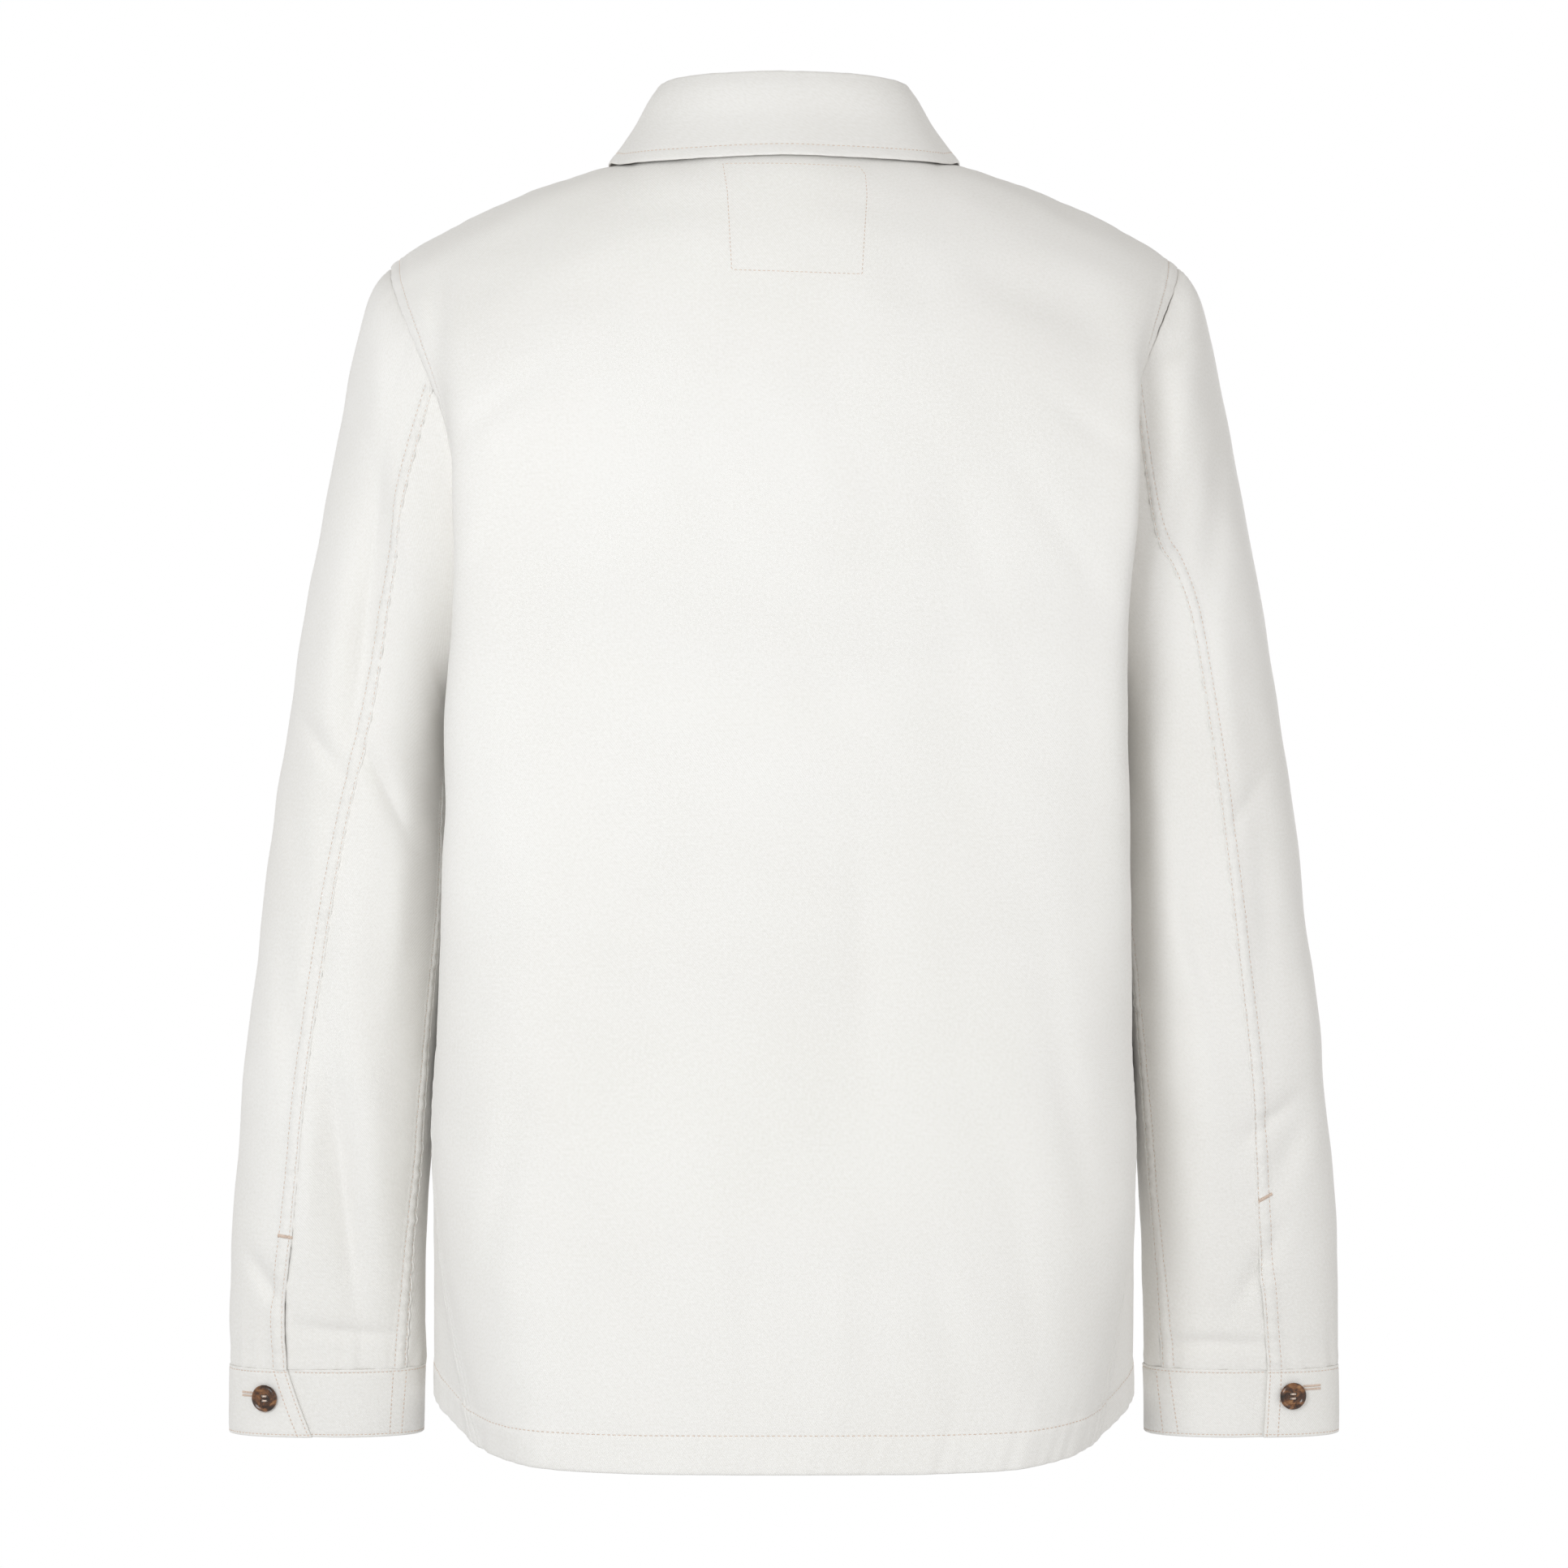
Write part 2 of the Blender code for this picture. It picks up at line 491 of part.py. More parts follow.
def sleeve_pieces(back, front, pit, side):
    """The two pieces of a sleeve, raised along the felled seam at the back."""
    armhole = armhole_points(back, front, pit, side)
    spans = len(armhole) - 1
    seam_share = UNDER_SPANS / spans
    under = np.arange(UNDER_SPANS + 1) / spans
    upper = np.arange(UNDER_SPANS, spans + 1) / spans
    upper = np.insert(upper, 1, seam_share + np.array([FELL_SHARE, FELL_SHARE + STEP_SHARE]) / spans)
    outward = 1 if side == "left" else -1
    grids = {"under": sleeve_grid(armhole, under, side, seam_share),
             "upper": sleeve_grid(armhole, upper, side, seam_share)}
    grids["upper"][:, -1] = grids["under"][:, 0]
    grids["upper"][:, 0] = grids["under"][:, -1]
    rise = np.zeros(grids["upper"].shape[:2])
    rise[:, :2] = FELL_RISE
    return [Piece(f"sleeve_under_{side}", grids["under"], outward),
            Piece(f"sleeve_upper_{side}", grids["upper"], outward, rise)]


def cuff_grid(side):
    """Grid round a cuff, from the end beneath to the end that laps over it."""
    heights, *others = (np.array(column, float) for column in zip(*CUFF_RINGS))
    rows = np.linspace(heights[0], heights[-1], CUFF_ROWS + 1)
    start = np.linspace(*CUFF_EDGE[side], CUFF_ROWS + 1)
    share = np.linspace(0, 1, CUFF_SPANS + 1)
    degrees = start[:, None] - CUFF_LAP + (360 + CUFF_LAP) * share[None]
    grid = []
    for r, height in enumerate(rows):
        outer, inner, middle, depth = (
            through(heights[::-1], column[::-1], np.array([height]))[0] for column in others)
        ring = ring_points((outer, height), (inner, height), middle, depth, degrees[r])
        grid.append(mirrored(ring, side))
    grid = np.array(grid)
    outward = -1 if side == "left" else 1
    normal = Piece("ring", grid, outward).normal
    sunk = 1 - smooth_step((degrees - start[:, None]) / CUFF_RAMP)
    return grid - normal * (sunk * (CUFF_WALL + CUFF_CLEAR))[..., None], outward


def collar_pieces(back, front):
    """The stand round the neck and the leaf that folds over it."""
    half = back.shape[1] // 2
    rim = np.concatenate([front[-1, half:half - NECK_SPANS:-1],
                          back[-1, half - NECK_SPANS:half + NECK_SPANS + 1],
                          front[-1, half + NECK_SPANS - 1:half - 1:-1]])
    count = len(rim) // 2
    place_along = np.arange(-count, count + 1) / count
    share, way = np.abs(place_along), np.where(place_along < 0, -1.0, 1.0)
    fold, edge = (through(COLLAR_STATIONS, line, share) for line in (FOLD_LINE, LEAF_EDGE))
    for line in (fold, edge):
        line[:, 0] *= way
    rim[0, 0], rim[-1, 0] = -fold[-1, 0] / 2, fold[-1, 0] / 2
    grown = smooth_step((share - STAND_LIFT_RUN[0]) / STAND_LIFT_RUN[1])
    lift = STAND_LIFT + (STAND_LIFT_FRONT - STAND_LIFT) * grown
    foot = rim + lift[:, None] * (0, 0, 1)
    spread = unit((edge - fold) * (1, 1, 0))
    down = np.array([0, 0, -1.0])
    seam = fold - spread * FOLD_REACH * SEAM_REACH + down * FOLD_DROP
    turn = fold + spread * FOLD_REACH + down * FOLD_DROP * SEAM_REACH
    waist = (turn + edge) / 2 - spread * WAIST
    bend = np.array([seam, fold, turn, waist, edge])
    run = np.mean([chord(bend[:, k]) for k in range(len(rim))], axis=0)
    over = np.linspace(0, run[2], FOLD_ROWS + 1)
    below = np.linspace(run[2], run[-1], LEAF_ROWS - FOLD_ROWS + 1)
    rows = np.concatenate([over, below[1:]])
    leaf = through(run, bend, rows)
    leaf[0] = seam
    stand = np.linspace(foot, seam, STAND_ROWS + 1)
    return [Piece("collar_stand", stand, 1, wall=COLLAR_WALL, sewn=("top",)),
            Piece("collar_leaf", leaf, 1, wall=COLLAR_WALL, sewn=("bottom",))]


def button(name, width, point, normal):
    """Round button with a rim and a sunk middle, its back on the given point."""
    built = bmesh.new()
    profile = [built.verts.new((r * width / 2 * MM, 0, z * BUTTON_HEIGHT * MM)) for r, z in BUTTON_PROFILE]
    edges = [built.edges.new(pair) for pair in zip(profile, profile[1:])]
    bmesh.ops.spin(built, geom=profile + edges, axis=(0, 0, 1), cent=(0, 0, 0), angle=2 * np.pi,
                   steps=BUTTON_SIDES, use_merge=True)
    bmesh.ops.remove_doubles(built, verts=built.verts, dist=0.01 * MM)
    bmesh.ops.recalc_face_normals(built, faces=built.faces)
    mesh = bpy.data.meshes.new(name)
    built.to_mesh(mesh)
    built.free()
    part = place(name, mesh, "button", 35)
    part.rotation_euler = Vector(normal).to_track_quat("Z", "X").to_euler()
    part.location = Vector(point * MM)


def surface_point(piece, column, height):
    """Point on a piece's outside in one column at a height, and the way out there."""
    line, normals = piece.grid[:, column], unit(piece.normal[:, column])
    order = np.argsort(line[:, 2])
    point = np.array([np.interp(height, line[order, 2], line[order, k]) for k in range(3)])
    normal = unit(np.array([np.interp(height, line[order, 2], normals[order, k]) for k in range(3)]))
    rise = np.interp(height, line[order, 2], piece.rise[order, column])
    return point + normal * (piece.wall / 2 + rise + BUTTON_GAP), normal


def main():
    """Clears the scene and builds the jacket."""
    for old in list(bpy.data.objects):
        bpy.data.objects.remove(old, do_unlink=True)
    pieces, back, front, pit = torso_pieces()
    front_left = pieces[1]
    for side in ("left", "right"):
        pieces += sleeve_pieces(back, front, pit, side)
    pieces += collar_pieces(back, front)
    for side in ("left", "right"):
        grid, outward = cuff_grid(side)
        cuff = Piece("cuff_" + side, grid, outward, wall=CUFF_WALL, sewn=())
        pieces.append(cuff)
        degrees = CUFF_EDGE[side][0] - CUFF_LAP + (360 + CUFF_LAP) * np.linspace(0, 1, CUFF_SPANS + 1)
        column = int(np.argmin(np.abs(degrees - 360 - CUFF_BUTTON_ANGLE[side])))
        button("cuff_button_" + side, CUFF_BUTTON, *surface_point(cuff, column, CUFF_BUTTON_Z[side]))
    for number, height in enumerate(FRONT_BUTTON_Z, 1):
        button(f"front_button_{number}", FRONT_BUTTON, *surface_point(front_left, 1, height))
    join_seams(pieces)
    for piece in pieces:
        trim(piece)
        build_wall(piece)


main()
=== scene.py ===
"""Dresses the field jacket: twill cloth with its folds, seams and stitches, buttons, floor, light, camera.

Tables and sizes are in millimetres, and the meshes are in metres. The jacket faces -Y, +X is the wearer's
left, and the camera looks at the back.
"""

from __future__ import annotations

import logging
import math
from dataclasses import dataclass, field
from enum import Enum

import bmesh
import bpy
import numpy as np
from mathutils import Matrix, Vector
from mathutils.bvhtree import BVHTree


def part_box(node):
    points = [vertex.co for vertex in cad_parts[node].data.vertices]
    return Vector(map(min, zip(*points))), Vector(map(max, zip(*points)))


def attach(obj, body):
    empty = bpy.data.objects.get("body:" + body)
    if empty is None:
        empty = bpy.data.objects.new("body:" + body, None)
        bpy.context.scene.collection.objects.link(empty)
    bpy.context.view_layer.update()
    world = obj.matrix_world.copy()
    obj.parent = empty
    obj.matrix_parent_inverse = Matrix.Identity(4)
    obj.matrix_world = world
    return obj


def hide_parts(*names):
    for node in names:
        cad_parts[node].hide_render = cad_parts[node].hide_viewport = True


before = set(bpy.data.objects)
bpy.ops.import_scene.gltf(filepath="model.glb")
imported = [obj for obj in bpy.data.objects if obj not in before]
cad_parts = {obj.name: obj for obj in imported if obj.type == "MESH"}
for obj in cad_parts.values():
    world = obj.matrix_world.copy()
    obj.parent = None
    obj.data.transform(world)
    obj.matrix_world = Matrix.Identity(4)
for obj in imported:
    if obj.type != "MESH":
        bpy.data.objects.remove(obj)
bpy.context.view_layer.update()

LOG = logging.getLogger("jacket")
MM = 0.001
CLOTH = 1.2
SEED = 11

# Lines drawn down the torso from the hem to the neck or shoulder, as x, y, z.
# Rows: hem, low, hip, waist, underarm, four up the armhole, yoke, ridge, top.
BACK_CENTRE = [(0, 128, -711), (0, 121, -600), (0, 114, -480), (0, 111, -380), (0, 114, -292),
               (0, 117, -240), (0, 118, -190), (0, 114, -132), (0, 105, -86), (0, 91, -42), (0, 76, -14),
               (0, 60, 0)]
BACK_NAPE = [(42, 127, -711), (45, 120, -600), (46, 113.5, -480), (47, 110.5, -380), (48, 113.5, -292),
             (48, 116.5, -240), (48, 117.5, -190), (47, 113.5, -132), (46, 104, -86), (46, 88, -42),
             (46, 68, -14.5), (46, 48, -1.2)]
BACK_NECK = [(80, 124, -711), (90, 117, -600), (92, 111, -480), (94, 108, -380), (95, 111, -292),
             (96, 114, -240), (96, 115, -190), (94, 110, -133), (91, 98, -87), (88, 76, -42), (84, 44, -13),
             (79, 5, -3)]
BACK_BLADE = [(127, 112, -710), (152, 101, -598), (156, 97, -480), (157, 97, -380), (157, 103, -292),
              (157, 107, -240), (158, 108, -190), (160, 101, -137), (160, 85, -98), (157, 59, -60),
              (153, 31, -36), (150, 0, -23)]
BACK_FOLD_LEFT = [(150, 90, -708), (179, 74, -594), (184, 70, -480), (181, 78, -380), (178, 88, -294),
                  (175, 93, -246), (175, 96, -196), (176.5, 93, -143), (184, 77, -105), (195, 50, -77),
                  (200, 24, -59), (203, -3, -48.5)]
BACK_FOLD_RIGHT = [(154, 88, -707), (182, 73, -594), (185, 70, -480), (184, 80, -380), (181, 92, -294),
                   (183, 97, -246), (188, 99, -196), (189, 93, -144), (189, 79, -104), (198, 50, -78),
                   (201, 24, -60), (203, -3, -48.5)]
BACK_EDGE = [(166, 65, -704), (188, 46, -590), (188, 34, -480), (175, 20, -380), (169, 8, -292),
             (166, 36, -268), (170, 61, -217), (182, 72, -152), (199, 61, -110), (210, 39, -85),
             (216, 16, -69), (218, -5, -61)]
FRONT_CENTRE = [(0, -138, -706), (0, -132, -600), (0, -126, -480), (0, -124, -380), (0, -128, -292),
                (0, -130, -262), (0, -129, -222), (0, -122, -182), (0, -108, -144), (0, -90, -110),
                (0, -75, -88), (0, -63, -74)]
FRONT_THROAT = [(44, -137, -706), (45, -131, -600), (46, -125, -480), (47, -123, -380), (47, -127, -292),
                (47, -129, -260), (47, -128, -216), (47, -120, -170), (48, -105, -128), (50, -84, -90),
                (49, -66, -69), (45, -53, -57)]
FRONT_NECK = [(88, -133, -705), (90, -127, -600), (92, -121, -480), (94, -118, -380), (95, -122, -292),
              (95, -124, -255), (94, -122, -205), (94, -113, -152), (96, -95, -99), (97, -66, -53),
              (94, -31, -22), (79, 5, -3)]
FRONT_CHEST = [(148, -114, -700), (150, -108, -597), (150, -104, -480), (150, -102, -380),
               (153, -106, -292), (155, -109, -258), (157, -109, -212), (160, -101, -158),
               (160, -84, -112), (157, -56, -68), (153, -28, -39), (150, 0, -23)]
FRONT_FOLD = [(192.5, 0, -686), (191.5, -14, -590), (187.5, -30, -480), (176, -46, -380), (168, -68, -297),
              (169, -85, -264), (175, -93, -216), (184, -90, -163), (193, -72, -119), (200, -46, -87),
              (203, -22, -64), (203, -4, -48.5)]
FRONT_EDGE = BACK_EDGE[:5] + [(170, -38, -271), (176, -70, -224), (185, -77, -168), (199, -63, -117),
                              (210, -40, -87), (216, -20, -70), (218, -5, -61)]
PIT_LEVEL = 4           # row of the tables that lies at the underarm

# The shoulder's top line out from the neck, as x, z, and the neck seam from centre back to centre front.
SHOULDER = [(79, -3), (98, -6), (120, -12.4), (138, -18), (156, -25.5), (174, -33.5), (192, -43),
            (205, -50), (218, -61)]
SHOULDER_Y = (5, -5)
NECK_BACK = [(0, 60, 0), (24, 57.5, -0.4), (46, 48, -1.2), (64, 32.5, -2), (79, 5, -3)]
NECK_FRONT = [(79, 5, -3), (77, -17, -16), (66, -38, -37), (45, -53, -57), (20, -61, -70.5), (0, -63, -74)]
THROAT_RUN = 0.64
CORRECTION = 0.055      # share of a torso line over which its top is drawn to the neck or shoulder seam

# Rings down the sleeve: outer x, z, inner x, z, middle y, half depth, back seam's angle left and right,
# underarm seam's angle. Angles run from the outer side (0) through the back (90) to the inner side (180).
SLEEVE = [
    (229.5, -79, 184, -300, -6, 73, 92.5, 101, 178),
    (239, -117, 187, -314, -7, 69, 95.5, 96, 176),
    (250.5, -176, 188, -333, -8, 65, 95, 90, 173),
    (266, -258, 188, -359, -8, 62, 93.5, 88, 169),
    (280, -350, 188, -396, -9, 59, 87, 86, 165),
    (291, -436, 191, -450, -11, 54, 81.5, 85, 162),
    (300, -511, 195, -511, -13, 49, 78, 84, 159),
    (307, -590, 199.5, -590, -18, 41, 75.5, 85, 154),
    (309, -645, 201.5, -645, -21, 33, 71, 82, 149),
    (308.8, -670.5, 202, -670.5, -22, 29.5, 72, 80, 146),
    (309, -676, 202.2, -676, -22, 29.1, 72, 80, 146),
]
SQUARENESS = 2.3
SEAM_SHARE = 0.3        # share of the armhole, from the underarm up the back, that the under sleeve takes
UNDERLAP_SHARE = 0.024  # further share by which the under sleeve runs on beneath the upper one

# The cuff: each ring's z, outer x, inner x, middle y and half depth.
CUFF_RINGS = [(-670.9, 308.9, 202.0, -22, 29.5), (-690.0, 309.2, 202.3, -22, 28),
              (-709.0, 309.0, 202.5, -22, 27)]
CUFF_EDGE = {"left": (72, 86), "right": (80, 82)}
CUFF_SEAM_ROWS = {
    "left": ([(216.6, -673), (218.6, -707)], [(209.6, -673), (212.4, -707)]),
    "right": ([(-213.5, -673), (-218.5, -707)], [(-206.8, -673), (-210.5, -707)]),
}
CUFF_WALL = 1.8
CUFF_LAP = 30.0
CUFF_RAMP = 16.0
CUFF_CLEAR = 0.4

# The open felled edge below the bar tack: how far it stands off, how soon, how wide and how wavy.
VENT_LIFT = 0.9
VENT_FADE = 14
VENT_REACH = 11
VENT_WAVE = 9.0

# Puffs of a felled seam between its stitches: their length, and how far and how slowly it drifts.
PUFF_WAVE = 8.5
PUFF_SWAY = 1.4
PUFF_SWAY_RUN = 19.0

# Distances of the rows of stitches from the edge that they run along.
EDGE_STITCH = 1.8
FELLED_STITCHES = (1.6, 7.8)
ARMHOLE_STITCH = 6.6
COLLAR_STITCH = 7.0
HEM_STITCH = 20.6
BAND_STITCH = 29.4
PIT_Z = -290

# Collar from centre back to centre front: the fold and the leaf's lower edge, as x, y, z.
COLLAR_STATIONS = (0.0, 0.25, 0.4, 0.5, 0.62, 0.75, 1.0)
FOLD_LINE = [(0, 50, 40.0), (49, 37, 39.3), (64, 19.5, 38.6), (68, 2, 36.5), (62, -26, 12), (41, -49, -19),
             (4, -67, -42)]
LEAF_EDGE = [(0, 75, -8.6), (69.5, 53, -9.0), (90, 27.5, -7.4), (97, 4, -4.9), (92, -34, -19), (79, -68, -47),
             (42, -101, -105)]
STAND_LIFT = (0.9, 2.2)
STAND_LIFT_RUN = (0.3, 0.25)
COLLAR_WALL = 1.6
FOLD_DROP, FOLD_REACH, SEAM_REACH, WAIST = 5.0, 3.2, 0.8, 1.5

FRONT_LAP = 15.0
LAP_LIFT = 0.85
LAP_FADE = 12.0


class Side(Enum):
    """A side of the wearer."""

    LEFT = "left"
    RIGHT = "right"

    @property
    def sign(self) -> int:
        """Sign of X on this side."""
        return 1 if self is Side.LEFT else -1


class Border(Enum):
    """A border of a panel's grid: rows run from bottom to top, columns from start to end."""

    BOTTOM = "bottom"
    TOP = "top"
    START = "start"
    END = "end"


# ---------------------------------------------------------------- curves

def unit(vectors: np.ndarray) -> np.ndarray:
    """Vectors of length one along the last axis."""
    return vectors / np.maximum(np.linalg.norm(vectors, axis=-1, keepdims=True), 1e-9)


def through(knots: np.ndarray, values: np.ndarray, at: np.ndarray) -> np.ndarray:
    """Smooth curve through values at knots.

    Args:
        knots: Places of the values, rising.
        values: Values along the first axis.
        at: Places to read.

    Returns:
        The values at the places.
    """
    knots, values, at = (np.asarray(a, float) for a in (knots, values, at))
    step = np.diff(knots)
    spread = (-1,) + (1,) * (values.ndim - 1)
    slope = np.diff(values, axis=0) / step.reshape(spread)
    ahead, behind = step[1:].reshape(spread), step[:-1].reshape(spread)
    inner = (slope[:-1] * ahead + slope[1:] * behind) / (ahead + behind)
    first, last = 1.5 * slope[0] - 0.5 * inner[0], 1.5 * slope[-1] - 0.5 * inner[-1]
    tangent = np.concatenate([[first], inner, [last]])
    i = np.clip(np.searchsorted(knots, at, side="right") - 1, 0, len(knots) - 2)
    spread = at.shape + (1,) * (values.ndim - 1)
    u, h = ((at - knots[i]) / step[i]).reshape(spread), step[i].reshape(spread)
    return ((2 * u**3 - 3 * u**2 + 1) * values[i] + (u**3 - 2 * u**2 + u) * h * tangent[i]
            + (3 * u**2 - 2 * u**3) * values[i + 1] + (u**3 - u**2) * h * tangent[i + 1])


def chord(points: np.ndarray, power: float = 1.0) -> np.ndarray:
    """Distance run along a polyline up to each point, each step raised to a power."""
    steps = np.linalg.norm(np.diff(np.asarray(points, float), axis=0), axis=-1) ** power
    return np.concatenate([[0.0], np.cumsum(steps)])


def along(points: list[tuple], at: np.ndarray) -> np.ndarray:
    """Smooth curve through points, read at fractions of its length."""
    run = chord(points)
    return through(run / run[-1], points, at)


def both_halves(points: list[tuple]) -> np.ndarray:
    """Points from the centre out to the wearer's left, after their mirror image on the right."""
    points = np.array(points, float)
    return np.concatenate([points[:0:-1] * (-1, 1, 1), points])


def from_centre(points: list[tuple], share: np.ndarray) -> np.ndarray:
    """Smooth symmetric curve through points, read from the centre (0) out to the last point (1)."""
    return along(both_halves(points), 0.5 + share / 2)


def smooth_step(value: np.ndarray) -> np.ndarray:
    """Zero below 0, one above 1, and an even slope at both."""
    value = np.clip(value, 0.0, 1.0)
    return value * value * (3 - 2 * value)


def mirrored(points: list[tuple] | np.ndarray, side: Side) -> np.ndarray:
    """Points of the wearer's left half, or their mirror image on the right."""
    return np.asarray(points, float) * (side.sign, 1, 1)


def shoulder_line(share: np.ndarray) -> np.ndarray:
    """Points on the shoulder seam, from the neck (0) to the sleeve (1)."""
    table = np.array(SHOULDER, float)
    x = table[0, 0] + (table[-1, 0] - table[0, 0]) * share
    y = SHOULDER_Y[0] + (SHOULDER_Y[1] - SHOULDER_Y[0]) * share
    return np.stack([x, y, through(table[:, 0], table[:, 1], x)], axis=-1)


def ring_points(outer: tuple, inner: tuple, middle_y: float, depth: float,
                degrees: np.ndarray) -> np.ndarray:
    """Points round a flattened ring.

    Args:
        outer: The outer side's x and z.
        inner: The inner side's x and z.
        middle_y: Y of the ring's middle.
        depth: Half the ring's depth.
        degrees: Places round the ring.

    Returns:
        The points as x, y, z.
    """
    angle = np.radians(degrees)
    power = 2 / SQUARENESS
    across = np.sign(np.cos(angle)) * np.abs(np.cos(angle)) ** power
    back = np.sign(np.sin(angle)) * np.abs(np.sin(angle)) ** power
    outer, inner = np.array(outer, float), np.array(inner, float)
    centre, reach = (outer + inner) / 2, (outer - inner) / 2
    x, z = (centre[k] + reach[k] * across for k in (0, 1))
    return np.stack([x, middle_y + depth * back, z], axis=-1)


# ---------------------------------------------------------------- folds

@dataclass(frozen=True)
class Fold:
    """A fold in the cloth: where it is, its half length and half width, and its height outwards."""

    face: str
    x: float
    z: float
    tilt: float
    length: float
    width: float
    height: float
    power: float = 2.0

    def height_at(self, grid: np.ndarray, middle_y: np.ndarray | float, turn: float) -> np.ndarray:
        """Shift along Y of each point of a grid.

        Args:
            grid: Points of the cloth.
            middle_y: Y of the middle of the tube that the cloth makes.
            turn: Depth from there over which the fold comes to its full height.

        Returns:
            The shift of each point.
        """
        lean, way = math.radians(self.tilt), 1 if self.face == "back" else -1
        dx, dz = grid[..., 0] - self.x, grid[..., 2] - self.z
        up = dx * math.sin(lean) + dz * math.cos(lean)
        over = dx * math.cos(lean) - dz * math.sin(lean)
        shown = smooth_step(way * (grid[..., 1] - middle_y) / turn)
        form = np.exp(-np.abs(up / self.length) ** 2 - np.abs(over / self.width) ** self.power)
        return way * self.height * shown * form


# face, x, z, tilt from upright, half length, half width, height and, for a sharp fold, power
TORSO_FOLDS = [Fold(*row) for row in [
    ("back", 118, -280, 4, 130, 22, -2.0), ("back", -40, -430, -3, 120, 24, -2.0),
    ("back", -90, -300, -4, 110, 20, -1.8), ("back", 148, -62, -60, 45, 18, -3.5),
    ("back", -155, -92, 67, 50, 18, -4.0), ("back", 40, -600, 8, 90, 26, 2.0),
    ("front", 105, -420, 5, 120, 22, -2.5), ("front", -98, -390, -6, 130, 22, -2.5),
    ("front", 130, -150, 38, 70, 20, -3.0), ("front", -128, -155, -35, 70, 20, -3.0),
    ("back", 112, -270, -13, 90, 9, -1.3), ("back", -112, -250, 20, 75, 9, -1.3),
    ("back", -42, -440, 2, 80, 8, -1.2), ("back", 134, -420, -6, 70, 10, 1.3),
    ("back", 20, -640, 4, 45, 9, -1.2), ("back", 70, -628, -5, 50, 10, -1.3),
    ("back", -30, -632, -3, 50, 9, 1.2), ("back", -84, -622, 6, 55, 10, -1.3),
    ("back", -128, -610, 9, 60, 9, -1.3), ("back", 112, -618, -7, 60, 9, -1.2),
    ("back", 150, -560, -10, 60, 8, -1.9), ("back", -152, -520, 9, 70, 9, -1.9),
    ("back", 150, -205, -30, 40, 8, -1.7), ("back", -148, -215, 32, 45, 8, -1.7),
    ("back", 158, -150, -52, 30, 7, -1.7), ("back", -163, -158, 54, 32, 7, -1.7),
    ("back", 60, -40, -75, 40, 10, -1.3), ("back", -66, -42, 76, 40, 10, -1.3),
    ("back", 186, -98, 2, 40, 6, -4.2), ("back", 199, -80, 10, 22, 6, 1.2),
    ("back", 24, -120, -20, 50, 14, -0.9), ("back", -34, -150, 14, 50, 14, -0.9),
    ("front", 150, -250, 40, 45, 9, -2.6), ("front", -150, -250, -40, 45, 9, -2.6),
    ("front", 158, -210, 58, 38, 8, -2.3), ("front", -160, -205, -58, 38, 8, -2.3),
    ("front", 60, -620, -4, 60, 12, -1.7), ("front", -70, -600, 6, 60, 12, -1.7),
    ("front", 120, -560, 8, 90, 14, -2.0), ("front", -122, -540, -8, 90, 14, -2.0),
]]
SLEEVE_FOLDS = [Fold(*row) for row in [
    ("back", 226, -238, -6, 90, 16, -4.5), ("back", 250, -296, -10, 70, 16, 3.9),
    ("back", 258, -350, 20, 45, 18, -3.9), ("back", 243, -570, 5, 70, 13, -5.2),
    ("back", 225, -555, 5, 75, 14, 3.9), ("back", -204, -370, 11, 65, 13, 3.9),
    ("back", -221, -362, 8, 90, 15, -4.5), ("back", -223, -160, 13, 60, 16, 3.9),
    ("back", -228, -520, 3, 100, 18, 3.9), ("back", -208, -540, 5, 90, 13, -3.9),
    ("front", 235, -330, 15, 60, 16, -3.5), ("front", 255, -400, -25, 50, 15, -3.5),
    ("front", 240, -540, -6, 80, 15, 3.5), ("front", -238, -345, -18, 60, 16, -3.5),
    ("front", -250, -420, 22, 50, 15, -3.5), ("front", -245, -550, 8, 80, 15, 3.5),
    ("back", 226, -250, -7, 75, 6, -4.5, 1.6), ("back", 218, -347, 24, 24, 5, -4.9, 1.5),
    ("back", 256, -320, 37, 28, 6, -4.9, 1.6), ("back", 268, -372, 8, 36, 9, -3.4),
    ("back", 242, -575, 5, 60, 6, -4.5, 1.6), ("back", 240, -650, 84, 30, 4, -2.9),
    ("back", 285, -622, 33, 18, 5, -3.8), ("back", 210, -420, -3, 45, 8, 2.9),
    ("back", 272, -470, 4, 60, 9, -2.9), ("back", 252, -440, -14, 36, 7, -3.0),
    ("back", 236, -140, -16, 40, 8, -3.4), ("back", 262, -560, -3, 45, 7, 3.0),
    ("back", -216, -110, -63, 15, 4, -3.0), ("back", -236, -190, -4, 60, 8, -3.4),
    ("back", -240, -300, 5, 70, 10, 3.0), ("back", -268, -530, -51, 18, 7, -4.9, 1.6),
    ("back", -277, -548, -20, 22, 10, -4.9), ("back", -232, -656, 90, 32, 4, -3.0),
    ("back", -262, -420, 3, 60, 9, -3.0), ("back", -250, -360, -32, 30, 6, -2.0, 1.6),
    ("back", -226, -440, 16, 40, 7, -3.4), ("back", -290, -470, 6, 50, 8, 2.9),
    ("back", -262, -612, -28, 24, 6, -3.4), ("back", -200, -600, 4, 40, 7, -3.0),
    ("front", 225, -300, 28, 30, 6, -3.2, 1.6), ("front", 262, -360, -34, 30, 6, -3.2, 1.6),
    ("front", 240, -430, 20, 34, 7, -2.9), ("front", -228, -310, -28, 30, 6, -3.2, 1.6),
    ("front", -262, -372, 34, 30, 6, -3.2, 1.6), ("front", -242, -440, -20, 34, 7, -2.9),
    ("front", 262, -610, 18, 34, 7, -2.6), ("front", -262, -605, -18, 34, 7, -2.6),
]]
